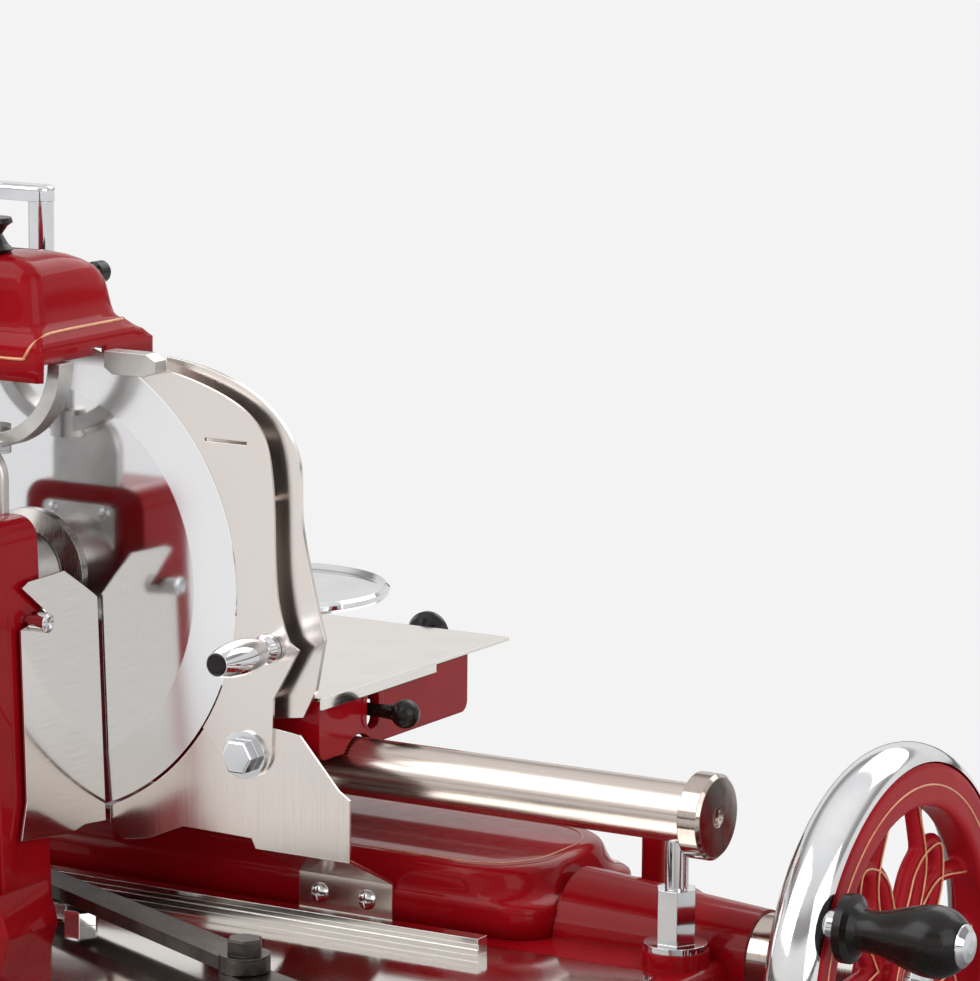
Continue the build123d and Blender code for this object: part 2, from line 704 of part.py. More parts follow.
def blade_carrier():
    """Blade shaft with its flange and the upper chain wheel."""
    flange = turned_y([(0, HUB_BACK + 0.5), (HUB_R, HUB_BACK + 0.5), (CARRIER_R, -BLADE_FRONT - 3),
                       (CARRIER_R, -BLADE_FRONT), (0, -BLADE_FRONT)], 0, 0)
    return flange + rod_y(BLADE_SHAFT_R, CHAIN_Y - 6, BLADE_BACK, 0, 0) + sprocket(0)


# ---------------------------------------------------------------- crank and connecting rod
def taper_link(x0, y0, r0, x1, y1, r1, z0, z1):
    """Flat link between two round ends of different size."""
    angle = atan2(y1 - y0, x1 - x0)
    length = hypot(x1 - x0, y1 - y0)
    bar = outline([(0, -0.85 * r0), (length, -0.85 * r1), (length, 0.85 * r1), (0, 0.85 * r0)])
    face = Circle(r0) + bar + Pos(length, 0) * Circle(r1)
    return plate_z(Pos(x0, y0) * Rot(0, 0, degrees(angle)) * face, z0, z1)


def crank_arm():
    """Crank with its upright shaft; its top stays clear of the rod."""
    top = ROD_Z - OPEN_PIVOT_GAP
    arm = taper_link(CRANK_X, CRANK_Y, 19, ROD_BIG_X, ROD_BIG_Y, ROD_END_R, top - CRANK_T, top)
    arm += rod_z(CRANK_SHAFT_R, DECK_Z - 60, top, CRANK_X, CRANK_Y)
    return arm + rod_z(CRANK_SHAFT_R + 6, DECK_Z - 60, DECK_Z - 48.5, CRANK_X, CRANK_Y)


def connecting_rod():
    rod = taper_link(ROD_BIG_X, ROD_BIG_Y, ROD_END_R, ROD_SMALL_X, ROD_SMALL_Y, ROD_SMALL_R,
                     ROD_Z, ROD_Z + ROD_T)
    return rod - rod_z(DRIVE_PIN_R + FIT, ROD_Z, ROD_Z + ROD_T, ROD_SMALL_X, ROD_SMALL_Y)


def hex_head(x, y, z):
    """Hexagonal bolt head standing on a level face."""
    head = hex_z(HEX_BOLT_R, z, z + HEX_BOLT_H, x, y)
    return chamfer(head.edges().group_by(Axis.Z)[-1], 1)


def bolt_and_washer(x, y, z):
    """Hexagonal bolt head on its washer."""
    return rod_z(HEX_BOLT_R + 4, z, z + 2, x, y) + hex_head(x, y, z + 2)


def rod_bolt():
    return bolt_and_washer(ROD_BIG_X, ROD_BIG_Y, ROD_Z + ROD_T)


# ---------------------------------------------------------------- guide tube and rear rail
def guide_tube():
    x0 = CAP_LEFT_FACE + 6
    x1 = CAP_FACE - 6
    return rod_x(TUBE_R, x0, x1, TUBE_Y, TUBE_Z) - rod_x(TUBE_R - TUBE_WALL, x0, x1, TUBE_Y, TUBE_Z)


def tube_cap(face, side):
    """End cap; side is +1 at the right and -1 at the left."""
    inner = face - side * CAP_W
    points = [(inner, TUBE_R), (inner, CAP_R), (face - side * 2, CAP_R), (face, CAP_R - 2), (face, 6),
              (face - side * 2.5, 5), (face - side * 2.5, 0), (face - side * 6, 0),
              (face - side * 6, TUBE_R)]
    return turned_x(points, TUBE_Y, TUBE_Z)


def tube_caps():
    return group([tube_cap(CAP_FACE, 1), tube_cap(CAP_LEFT_FACE, -1)])


def tube_post(x):
    """Post under the tube: washer, hexagonal foot and round neck cut to the tube."""
    post = rod_z(POST_WASHER_R, PAD_TOP, PAD_TOP + POST_WASHER_T, x, TUBE_Y)
    post += hex_z(HEX_POST_R, PAD_TOP + POST_WASHER_T, HEX_POST_TOP, x, TUBE_Y)
    post += rod_z(POST_R, HEX_POST_TOP, TUBE_Z, x, TUBE_Y)
    return post - rod_x(TUBE_R, x - 40, x + 40, TUBE_Y, TUBE_Z)


def tube_posts():
    return group([tube_post(POST_RIGHT), tube_post(POST_LEFT)])


def rear_rail():
    return rod_x(REAR_R, REAR_LEFT, REAR_RIGHT, REAR_Y, REAR_Z)


def rear_posts():
    posts = []
    for x in (REAR_POST_LEFT, REAR_POST_RIGHT):
        post = rod_z(REAR_POST_R, DECK_Z + REAR_POST_R, REAR_Z, x, REAR_Y)
        posts.append(post - rod_x(REAR_R, x - 30, x + 30, REAR_Y, REAR_Z))
    return group(posts)


# ---------------------------------------------------------------- plates round the blade
def domed_screw(x, y, z):
    """Round screw head facing -Y, seated at y."""
    r = SCREW_HEAD_R
    head = turned_y([(0, y - 3.2), (0.5 * r, y - 2.8), (0.85 * r, y - 1.6), (r, y), (0, y)], x, z)
    head -= block(x - 3, x + 3, y - 4, y - 2, z - 0.7, z + 0.7)
    return head - block(x - 0.7, x + 0.7, y - 4, y - 2, z - 3, z + 3)


def panel_screws():
    seat = COLUMN_BACK + FLANGE_T
    half_x = FLANGE_HALF_W - 7
    half_z = FLANGE_HALF_H - 5
    heads = [turned_y([(0, seat), (4, seat), (4, seat + 2), (2.5, seat + 3), (0, seat + 3)], x, z)
             for x in (-half_x, half_x) for z in (-half_z, half_z)]
    front = CASE_FRONT - SHEET_T
    heads += [domed_screw(x, front, (FLANGE_TOP + FLANGE_BOTTOM) / 2 - 1)
              for x in (FOLD_LEFT + 15, FOLD_RIGHT - 18)]
    return group(heads)


def foot_plate():
    flat = outline([(120, -60), (150, -70), (177, -78), (195, -80), (223, -111), (FOLD_RIGHT, -116),
                    (FOLD_RIGHT, FOLD_TOP), (FOLD_LEFT, FOLD_TOP), (FOLD_LEFT - 3, -148), (111, -147),
                    (85, -158), (67, -161), (57, -152), (57, -130)]) - Circle(CLEAR_R)
    front = CASE_FRONT - SHEET_T
    drop = 1.2
    fold = outline([(0, FOLD_TOP + 2), (SHEET_T, FOLD_TOP + 2), (SHEET_T, FOLD_TOP + drop),
                    (CASE_FRONT, FLANGE_TOP + drop), (CASE_FRONT, FLANGE_BOTTOM), (front, FLANGE_BOTTOM),
                    (front, FLANGE_TOP), (0, FOLD_TOP)])
    return plate_y(flat, 0, SHEET_T) + plate_x(fold, FOLD_LEFT, FOLD_RIGHT)


def guard_studs():
    """Places of the studs that carry the gauge plate."""
    return [(170 * GUARD_SCALE, side * 60 * GUARD_SCALE) for side in (1, -1)]


def ring_guard():
    edge = Spline((100, 134), (146, 120), (168, 104), (177, 74), (179, 25), (189, -24))
    rest = Polyline((189, -24), (196, -28), (190, -39), (178, -60), (177, -90))
    lobe = ThreePointArc((177, -90), (166, -109), (146, -106))
    back = Polyline((146, -106), (127, -83), (60, -40), (50, 100), (62, 139), (80, 138), (100, 134))
    drawn = make_face(Curve() + [edge, rest, lobe, back]) - Pos(144, 94) * Rectangle(30, 2)
    body = plate_y(scale(drawn, GUARD_SCALE) - Circle(CLEAR_R), -GUARD_T, 0)
    for x, z in guard_studs():
        body += rod_y(3, -GUARD_T, GAUGE_FRONT + GAUGE_T + 1.5, x, z)
    return body - rod_y(3 + FIT, -GUARD_T, 0, KNOB_X, KNOB_Z)


def gauge_plate():
    edge = Spline((95, 140), (139, 131), (172, 112), (189, 86), (191, 55), (197, 20), (208, -22))
    rest = Polyline((208, -22), (202, -53), (193, -71), (172, -74), (100, -60), (60, 60), (93, 126),
                    (95, 140))
    drawn = make_face(Curve() + [edge, rest])
    body = plate_y(scale(drawn, GUARD_SCALE) - Circle(CLEAR_R + 3), GAUGE_FRONT, GAUGE_FRONT + GAUGE_T)
    for x, z in guard_studs() + [(KNOB_X, KNOB_Z)]:
        body -= rod_y(3 + FIT, GAUGE_FRONT, GAUGE_FRONT + GAUGE_T, x, z)
    return body


def gauge_knob():
    y0 = -GUARD_T - 0.5
    y1 = y0 - KNOB_LENGTH
    r = KNOB_R
    flank = Spline((7, y0 - 8), (r - 0.5, y0 - 22), (r, y0 - 34), (7.5, y1))
    tip = GAUGE_FRONT + GAUGE_T + 1.5
    rest = Polyline((7.5, y1), (0, y1), (0, tip), (3, tip), (3, y0), (9, y0), (9, y0 - 4), (7, y0 - 8))
    edges = Curve() + [flank, rest]
    return Pos(KNOB_X, 0, KNOB_Z) * revolve(make_face(edges), Axis.Y)


def guard_block():
    face = outline([(64, 134), (70, 130), (92, 130), (101, 133), (101, 140), (94, 144), (64, 144)])
    return plate_y(scale(face, GUARD_SCALE), -GUARD_T - 12, -GUARD_T)


def hex_bolts():
    heads = [hex_head(x, HEX_BOLT_Y, TRAY_TOP) for x in (-HEX_BOLT_X, HEX_BOLT_X)]
    guard = Rot(90, 0, 0) * bolt_and_washer(0, 0, 0)
    heads.append(Pos(GUARD_BOLT_X, -GUARD_T, GUARD_BOLT_Z) * guard)
    return group(heads)


def deflector_plate():
    face = outline([(-80, 7), (-73, 10), (-37, 11), (-16, -2), (-4, -10), (-4, -150), (-26, -148),
                    (-42, -151), (-91, -145), (-84, -122), (-83, -18), (-55, -12)])
    tilt = Pos(COLUMN_HALF_W, 0, 0) * Rot(0, -degrees(atan2(COLUMN_TAPER, 1)), 0)
    plate = plate_x(face, DEFLECTOR_GAP, DEFLECTOR_GAP + DEFLECTOR_T)
    plate += rod_x(5, 0, DEFLECTOR_GAP, -74, -40) + rod_x(5, 0, DEFLECTOR_GAP, -74, -110)
    return tilt * plate - rod_x(3 + FIT, COLUMN_HALF_W, COLUMN_HALF_W + 12, THUMB_Y, THUMB_Z)


def deflector_screw():
    x = column_half(THUMB_Z)
    far = x + DEFLECTOR_GAP + DEFLECTOR_T + 0.5
    return turned_x([(x + 0.3, 0), (far + 11, 0), (far + 12, THUMB_R - 2), (far + 11, THUMB_R),
                     (far, THUMB_R), (far, 3), (x + 0.3, 3)], THUMB_Y, THUMB_Z)


# ---------------------------------------------------------------- sharpener
def dome_profile(gap):
    """Side outline of the cover's dome, moved in by gap."""
    edge = Spline((-52 + gap, COVER_STEP), (-49 + gap, 190 - gap), (-36, COVER_DOME - 2 - gap),
                  (-8, COVER_DOME - 3 - gap), (24, 191 - gap), (44 - gap, 174 - gap),
                  (50 - gap, COVER_STEP))
    return make_face(Curve() + [edge, Line((50 - gap, COVER_STEP), (-52 + gap, COVER_STEP))])


def sharpener_cover():
    wide = COVER_HALF_X - 8
    skirt = block(-COVER_HALF_X, COVER_HALF_X, COVER_FRONT, COVER_BACK, COVER_LIP, COVER_STEP + 3)
    skirt = chamfer(skirt.edges().group_by(Axis.Z)[-1], 3)
    apron = block(-COVER_HALF_X, COVER_HALF_X, COVER_FRONT, COVER_FRONT + COVER_SHELL,
                  COVER_APRON, COVER_LIP)
    dome = plate_x(dome_profile(0), -wide, wide)
    dome = fillet(dome.faces().sort_by(Axis.X)[-1].edges().sort_by(Axis.Z)[1:], 9)
    dome = fillet(dome.faces().sort_by(Axis.X)[0].edges().sort_by(Axis.Z)[1:], 9)
    t = COVER_SHELL
    inner = block(-COVER_HALF_X + t, COVER_HALF_X - t, COVER_FRONT + t, COVER_BACK - t,
                  COVER_LIP - 1, COVER_STEP - 1)
    hollow = plate_x(dome_profile(t), -wide + 5, wide - 5)
    body = skirt + apron + dome - inner - hollow
    body -= block(-wide + 5, wide - 5, -48, 42, COVER_LIP, COVER_STEP + 1)
    body -= rod_y(CLEAR_R + 3, -6, 9, 0, 0)
    return body - rod_y(4 + FIT, 30, COVER_BACK, 0, BUTTON_Z)


def cover_knob():
    z = COVER_DOME - 2
    r = SPOOL_R
    spool = turned_z([(0, z), (r - 2, z), (r, z + 3), (r - 3, z + 6), (r - 6.5, z + 12),
                      (r - 3, z + SPOOL_H - 5), (r, z + SPOOL_H - 3), (r - 1, z + SPOOL_H),
                      (0, z + SPOOL_H)], 0, -38)
    return spool - plate_x(dome_profile(0), -2 * r, 2 * r)


def sharpener_button():
    end = COVER_BACK + 17
    return turned_y([(0, 38.5), (4, 38.5), (4, end - 14), (7, end - 12), (7, end - 3), (5, end), (0, end)],
                    0, BUTTON_Z)


def sharpener_yoke():
    ring = Circle(YOKE_R) - Circle(YOKE_R - YOKE_T) - Pos(0, 50) * Rectangle(200, 100)
    y0 = YOKE_Y - YOKE_W / 2
    body = plate_y(Pos(0, COVER_LIP - 0.4) * ring, y0, y0 + YOKE_W)
    body += rod_z(11, COVER_LIP - YOKE_R - 4, COVER_LIP - YOKE_R + 13, 0, YOKE_Y)
    body += block(-12, 12, COLUMN_BACK, YOKE_Y, COVER_LIP - YOKE_R - 2, CREST_TOP - 4)
    body += rod_z(4, COVER_LIP - YOKE_R + 10, STONE_Z + 22, 0, YOKE_Y)
    body += block(-6, 6, YOKE_Y, 33, STONE_Z + 18.5, STONE_Z + 22)
    body += block(-6, 6, YOKE_Y - 3, YOKE_Y + 5, STONE_Z - 8, STONE_Z + 22)
    body += block(-6, 6, 25, 33, STONE_Z - 8, STONE_Z + 22)
    return body - rod_y(4 + FIT, YOKE_Y - 8, 34, 0, STONE_Z)


def stone(side):
    """Grinding wheel with its spindle; side is -1 in front of the blade and +1 behind it."""
    face = side * (STONE_Y - STONE_W / 2)
    back = side * (STONE_Y + STONE_W / 2)
    tail = YOKE_Y - 6 if side < 0 else 38
    points = [(0, face), (STONE_R - 4, face), (STONE_R, face + side * 4), (STONE_R, back), (4, back),
              (4, tail), (0, tail)]
    return turned_y(points, 0, STONE_Z)


# ---------------------------------------------------------------- carriage and meat table
def carriage_body():
    body = block(CAR_LEFT, CAR_RIGHT, CAR_FRONT, CAR_BACK, CAR_BOTTOM, CAR_TOP)
    low = body.edges().filter_by(Axis.X).group_by(Axis.Z)[0]
    body = fillet(low, 7)
    w = CAR_WALL
    body -= block(CAR_LEFT + w, CAR_RIGHT - w, CAR_FRONT + w, CAR_BACK - w, CAR_BOTTOM, CAR_TOP - w)
    body += block(LEVER_PIVOT_X - 6, LEVER_PIVOT_X + 6, LEVER_Y - 14, LEVER_Y - 9, LEVER_Z - 7, CAR_TOP - 1)
    body += block(LEVER_PIVOT_X - 6, LEVER_PIVOT_X + 6, LEVER_Y + 9, LEVER_Y + 14, LEVER_Z - 7, CAR_TOP - 1)
    body += block(SCREW_X - 14, SCREW_X + 14, CAR_BACK - w - 12, CAR_BACK - w, CAR_BOTTOM, CAR_TOP - 1)
    body -= rod_x(TUBE_R + 2, CAR_LEFT - 1, CAR_RIGHT + 1, TUBE_Y, TUBE_Z)
    body -= rod_y(3 + FIT, LEVER_Y - 14, LEVER_Y + 14, LEVER_PIVOT_X, LEVER_Z)
    body -= rod_y(SCREW_R + FIT, CAR_BACK - w - 12, CAR_BACK, SCREW_X, SCREW_Z)
    slot = Pos(LEVER_Y, LEVER_Z) * RectangleRounded(SLOT_W, SLOT_H, 0.45 * SLOT_W)
    body -= plate_x(slot, CAR_RIGHT - w, CAR_RIGHT)
    body += lever_plate()
    for side in (-1, 1):
        y = REAR_Y + side * (ROLLER_W / 2 + 2.5)
        ear = block(ROLLER_X - 8, ROLLER_X + 8, y - 2, y + 2, roller_z() - 6, CAR_TOP - 1)
        body += ear - rod_y(3, y - 2, y + 2, ROLLER_X, roller_z())
    return body + rod_y(3, REAR_Y - ROLLER_W / 2 - 4.5, REAR_Y + ROLLER_W / 2 + 4.5, ROLLER_X, roller_z())


def roller_z():
    """Height of the rear roller's axle, just clear of the rail."""
    return REAR_Z + REAR_R + ROLLER_R + 0.3


def rear_roller():
    wheel = rod_y(ROLLER_R, REAR_Y - ROLLER_W / 2, REAR_Y + ROLLER_W / 2, ROLLER_X, roller_z())
    return wheel - rod_y(3 + FIT, REAR_Y - ROLLER_W, REAR_Y + ROLLER_W, ROLLER_X, roller_z())


def carriage_saddle():
    y0 = TUBE_Y - SADDLE_HALF_W
    y1 = TUBE_Y + SADDLE_HALF_W
    body = block(SADDLE_LEFT, SADDLE_RIGHT, y0, y1, SADDLE_BOTTOM, CAR_TOP - CAR_WALL)
    body = chamfer(body.edges().filter_by(Axis.X).group_by(Axis.Z)[0], 6)
    body += block(ROD_SMALL_X - 10, ROD_SMALL_X + 10, ROD_SMALL_Y - DRIVE_PIN_R, y0,
                  CAR_BOTTOM - 14, CAR_BOTTOM - 1)
    body += rod_z(DRIVE_PIN_R, ROD_Z, CAR_BOTTOM - 1, ROD_SMALL_X, ROD_SMALL_Y)
    way = SCREW_R + 6
    body -= block(SCREW_X - way, SCREW_X + way, y0, y1, SCREW_Z - way, CAR_TOP)
    return body - rod_x(TUBE_R + FIT, SADDLE_LEFT, SADDLE_RIGHT, TUBE_Y, TUBE_Z)


def lever_plate():
    face = Pos(LEVER_Y, LEVER_Z + 2) * RectangleRounded(SLOT_W + 10, SLOT_H + 2, 8)
    face -= Pos(LEVER_Y, LEVER_Z) * RectangleRounded(SLOT_W, SLOT_H, 0.45 * SLOT_W)
    plate = plate_x(face, CAR_RIGHT, CAR_RIGHT + 0.6)
    return plate - rod_x(TUBE_R + 2, CAR_RIGHT, CAR_RIGHT + 1, TUBE_Y, TUBE_Z)


def release_lever():
    stem = turned_x([(LEVER_PIVOT_X, 0), (LEVER_REACH, 0), (LEVER_REACH, 5), (LEVER_REACH - 6, 5),
                     (CAR_RIGHT + 4, LEVER_R), (LEVER_PIVOT_X, LEVER_R)], LEVER_Y, LEVER_Z)
    ball = Pos(LEVER_REACH, LEVER_Y, LEVER_Z) * Sphere(LEVER_BALL_R)
    hub = rod_y(6, LEVER_Y - 8, LEVER_Y + 8, LEVER_PIVOT_X, LEVER_Z)
    pin = rod_y(3, LEVER_Y - 13, LEVER_Y + 13, LEVER_PIVOT_X, LEVER_Z)
    return stem + ball + hub + pin


def table_plate():
    low = CAR_TOP + TABLE_GAP
    plate = block(CAR_LEFT, TABLE_RIGHT, TABLE_FRONT, TABLE_BACK, low, TABLE_TOP)
    plate += block(TABLE_RIGHT - TABLE_T, TABLE_RIGHT, TABLE_FRONT, LIP_BACK, low - LIP_DROP, TABLE_TOP)
    plate += block(SCREW_X - 11, SCREW_X + 11, TABLE_BACK - 34, TABLE_BACK - 24, SCREW_Z - 12, low)
    return plate - rod_y(SCREW_R + FIT, TABLE_BACK - 34, TABLE_BACK - 24, SCREW_X, SCREW_Z)


def knob_place():
    """Where the feed knob stands on its crank arm."""
    return SCREW_X + 0.8 * CRANK_ARM_R, SCREW_Z + 0.6 * CRANK_ARM_R


def feed_screw():
    """Feed screw with its collars and crank arm."""
    kx, kz = knob_place()
    bar = Pos((SCREW_X + kx) / 2, (SCREW_Z + kz) / 2) * Rot(0, 0, degrees(atan2(0.6, 0.8)))
    screw = plate_y(bar * SlotCenterToCenter(CRANK_ARM_R, 13), TABLE_BACK + 3, TABLE_BACK + 9)
    screw += rod_y(SCREW_R, 30, TABLE_BACK + 9, SCREW_X, SCREW_Z)
    for y in (TABLE_BACK - 39.3, TABLE_BACK - 23.7):
        screw += rod_y(SCREW_R + 4, y, y + 5, SCREW_X, SCREW_Z)
    return screw


def feed_knob():
    kx, kz = knob_place()
    y = TABLE_BACK + 9
    r = FEED_KNOB_R
    end = FEED_KNOB_END
    return turned_y([(0, y), (6, y), (6, y + 2), (r - 3, y + 5), (r, y + 10), (r, end - 8),
                     (r - 4, end - 2), (0, end)], kx, kz)


def clamp_columns():
    return group(rod_z(CLAMP_ROD_R, TABLE_TOP, CLAMP_TOP - CROSSBAR_H, x, CLAMP_Y)
                 for x in (COLUMN_X1, COLUMN_X2))


def clamp_crossbar():
    span = COLUMN_X1 - COLUMN_X2
    face = Pos((COLUMN_X1 + COLUMN_X2) / 2, CLAMP_Y) * SlotCenterToCenter(span, 2 * CLAMP_ROD_R + 1)
    bar = plate_z(face, CLAMP_TOP - CROSSBAR_H, CLAMP_TOP)
    bar = fillet(bar.edges().group_by(Axis.Z)[-1], 3)
    return bar - rod_z(SPINDLE_R + FIT, CLAMP_TOP - CROSSBAR_H, CLAMP_TOP, spindle_x(), CLAMP_Y)


def spindle_x():
    """The clamp spindle stands between the columns, nearer the left one."""
    return COLUMN_X1 / 3 + COLUMN_X2 * 2 / 3


def clamp_arm():
    z0 = CLAMP_ARM_Z - CLAMP_ARM_H / 2
    z1 = CLAMP_ARM_Z + CLAMP_ARM_H / 2
    body = block(COLUMN_X2, PLATE_X, CLAMP_Y - 9, CLAMP_Y + 7, z0 + 3, z1 - 3)
    for x in (COLUMN_X1, COLUMN_X2):
        body += rod_z(CLAMP_ROD_R + 5, z0, z1, x, CLAMP_Y)
    body += rod_z(10, PLATE_Z + PLATE_T / 2, z1 - 3, PLATE_X, PLATE_Y)
    for x in (COLUMN_X1, COLUMN_X2):
        body -= rod_z(CLAMP_ROD_R + FIT, z0, z1, x, CLAMP_Y)
    return body - rod_z(SPINDLE_R + FIT, z0, z1, spindle_x(), CLAMP_Y)


def press_plate():
    top = PLATE_Z + PLATE_T / 2
    low = PLATE_Z - PLATE_T / 2
    r = PLATE_R
    plate = turned_z([(0, low), (r - 2, low), (r, low + 2), (r, top + 1), (r - 2, top + 3),
                      (r - 4, top + 1), (r - 6, top), (0, top)], PLATE_X, PLATE_Y)
    for k in range(PIN_COUNT):
        a = 2 * pi * k / PIN_COUNT
        spike = Pos(PLATE_X + 0.7 * r * cos(a), PLATE_Y + 0.7 * r * sin(a), low - 3) * Cone(0.4, 1.8, 6)
        plate += spike
    return plate


def clamp_spindle():
    x = spindle_x()
    top = CLAMP_TOP
    knob = turned_z([(0, top + 0.5), (6, top + 0.5), (7, top + 5), (10, top + 7), (10, top + 14),
                     (8, top + 16), (0, top + 17)], x, CLAMP_Y)
    return knob + rod_z(SPINDLE_R, TABLE_TOP + 0.3, top + 0.5, x, CLAMP_Y)


# ---------------------------------------------------------------- the whole machine
def place(shape):
    """Move from the blade's centre to the floor under the middle of the machine."""
    return Pos(-MID_X, -MID_Y, -FLOOR_Z) * shape


PARTS = {f.__name__: f for f in (
    base_casting, base_feet, shaft_cone, bearing_webs, slice_tray, tray_rail, gear_housing, shaft_bush,
    blade_column, chain_cover, blade_bearing, drive_chain, crest_plate, flywheel_rim, flywheel_spider,
    hub_cap, flywheel_shaft, drive_gear, layshaft, cross_shaft, handle_stub, handle_grip, blade,
    blade_carrier, crank_arm, connecting_rod, rod_bolt, guide_tube, tube_caps, tube_posts, rear_rail,
    rear_posts, panel_screws, foot_plate, ring_guard, gauge_plate, gauge_knob, guard_block, hex_bolts,
    deflector_plate, deflector_screw, sharpener_cover, cover_knob, sharpener_button, sharpener_yoke,
    carriage_body, rear_roller, carriage_saddle, release_lever, table_plate, feed_screw, feed_knob,
    clamp_columns, clamp_crossbar, clamp_arm, press_plate, clamp_spindle)}


def build_all():
    """Write one file for each sub-part."""
    os.makedirs("parts", exist_ok=True)
    for name, make in PARTS.items():
        export_step(place(make()), f"parts/{name}.step")
    for name, side in (("front_stone", -1), ("back_stone", 1)):
        export_step(place(stone(side)), f"parts/{name}.step")


build_all()
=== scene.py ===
from math import cos, pi, radians, sin

import bmesh
import bpy
from mathutils import Matrix, Vector


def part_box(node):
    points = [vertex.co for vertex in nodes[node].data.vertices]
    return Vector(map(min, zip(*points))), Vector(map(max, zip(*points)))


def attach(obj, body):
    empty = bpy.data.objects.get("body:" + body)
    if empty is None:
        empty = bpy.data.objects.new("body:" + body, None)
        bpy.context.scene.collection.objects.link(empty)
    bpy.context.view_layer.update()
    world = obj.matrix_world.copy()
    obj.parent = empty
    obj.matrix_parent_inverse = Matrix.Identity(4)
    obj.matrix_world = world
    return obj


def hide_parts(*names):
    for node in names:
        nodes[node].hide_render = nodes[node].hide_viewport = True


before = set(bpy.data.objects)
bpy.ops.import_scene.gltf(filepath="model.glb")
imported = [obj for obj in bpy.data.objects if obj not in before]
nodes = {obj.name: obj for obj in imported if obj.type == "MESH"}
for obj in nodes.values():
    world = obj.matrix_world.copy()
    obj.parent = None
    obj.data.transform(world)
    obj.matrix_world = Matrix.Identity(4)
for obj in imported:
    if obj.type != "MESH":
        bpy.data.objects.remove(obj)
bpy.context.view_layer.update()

# Looks of a hand crank meat slicer: red stove enamel, chrome, nickel and polished steel.
# Lengths are typed in millimetres about the centre of the blade, as the machine is drawn, and
# at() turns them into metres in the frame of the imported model.

MM = 0.001

# Where the frame's origin lies on the machine: on the floor under its middle.
MID_X = 201.5
MID_Y = -17.0
FLOOR_Z = -365.0

# Places and sizes that the replaced pieces share with the rest of the machine.
SKIRT_TOP = 160.0
CASE_TOP = -161.0
CASE_X = 130.0
CASE_Y = 120.5
CASE_HALF_X = 200.0
CASE_HALF_Y = 69.5
SHAFT_Y = 110.0
SHAFT_Z = -204.6
WHEEL_FACE = 552.0

PLUS_X = Vector((1, 0, 0))
PLUS_Y = Vector((0, 1, 0))


def at(x, y, z):
    """A place on the machine, in millimetres, as a point of the scene."""
    return Vector(((x - MID_X) * MM, (y - MID_Y) * MM, (z - FLOOR_Z) * MM))


# ---------------------------------------------------------------- making materials
def hue(code, alpha=1.0):
    """Linear colour of an sRGB hex value."""
    parts = [int(code[i:i + 2], 16) / 255 for i in (1, 3, 5)]
    return [p / 12.92 if p <= 0.04045 else ((p + 0.055) / 1.055) ** 2.4 for p in parts] + [alpha]


def add(tree, kind, values=None, links=None, **settings):
    """Adds a node with its settings, its input values and the sockets that feed it."""
    made = tree.nodes.new(kind)
    for name, value in settings.items():
        setattr(made, name, value)
    for name, value in (values or {}).items():
        made.inputs[name].default_value = value
    for name, socket in (links or {}).items():
        tree.links.new(socket, made.inputs[name])
    return made


def surface(name, **values):
    """A material with one surface shader; values are set on the shader's own sockets."""
    made = bpy.data.materials.new(name)
    made.use_nodes = True
    tree = made.node_tree
    tree.nodes.clear()
    named = {key.replace("_", " "): value for key, value in values.items()}
    shader = add(tree, "ShaderNodeBsdfPrincipled", named)
    add(tree, "ShaderNodeOutputMaterial", links={"Surface": shader.outputs["BSDF"]})
    return made, tree, shader


def grain(tree, size, stretch=(1, 1, 1), detail=2.0):
    """Noise whose lumps are size mm across, drawn out by stretch; its value runs from 0 to 1."""
    spot = add(tree, "ShaderNodeTexCoord")
    scaled = add(tree, "ShaderNodeMapping", {"Scale": [1000 / size / s for s in stretch]},
                 {"Vector": spot.outputs["Object"]})
    return add(tree, "ShaderNodeTexNoise", {"Scale": 1.0, "Detail": detail},
               {"Vector": scaled.outputs["Vector"]}).outputs["Fac"]


def remap(tree, value, start, end, low, high):
    """Turns a value between start and end into one between low and high."""
    limits = {"From Min": start, "From Max": end, "To Min": low, "To Max": high}
    return add(tree, "ShaderNodeMapRange", limits, {"Value": value}).outputs["Result"]


def spread(tree, factor, low, high):
    """Turns a 0 to 1 pattern, most of it near its middle, into values from low to high."""
    return remap(tree, factor, 0.3, 0.7, low, high)


def tint(tree, factor, dark, light, start=0.3, end=0.7):
    """Turns a 0 to 1 pattern into colours between two hex values."""
    ramp = add(tree, "ShaderNodeValToRGB", links={"Fac": factor})
    ramp.color_ramp.elements[0].position = start
    ramp.color_ramp.elements[0].color = hue(dark)
    ramp.color_ramp.elements[1].position = end
    ramp.color_ramp.elements[1].color = hue(light)
    return ramp.outputs["Color"]


def bumps(tree, shader, heights, edge=0.0):
    """Feeds the shader's normal with height patterns, each with its depth in mm, over soft edges."""
    normal = None
    if edge:
        normal = add(tree, "ShaderNodeBevel", {"Radius": edge * MM}, samples=6).outputs["Normal"]
    for pattern, depth in heights:
        links = {"Height": pattern}
        if normal:
            links["Normal"] = normal
        bump = add(tree, "ShaderNodeBump", {"Strength": 1.0, "Distance": depth * MM}, links)
        normal = bump.outputs["Normal"]
    if normal:
        tree.links.new(normal, shader.inputs["Normal"])


def dress(tree, shader, colour, roughness):
    """Feeds the shader's colour and roughness."""
    tree.links.new(colour, shader.inputs["Base Color"])
    tree.links.new(roughness, shader.inputs["Roughness"])


def stove_enamel(name, dark, light, edge, coat=0.9):
    """Stove enamel on cast iron: a deep wet gloss over the casting's own slow waves."""
    made, tree, shader = surface(name, IOR=1.5, Specular_IOR_Level=0.04, Coat_Weight=coat,
                                 Coat_Roughness=0.04, Coat_IOR=1.22)
    dress(tree, shader, tint(tree, grain(tree, 60), dark, light), spread(tree, grain(tree, 9), 0.3, 0.42))
    bumps(tree, shader, [(grain(tree, 55, detail=0), 0.6)], edge)
    return made


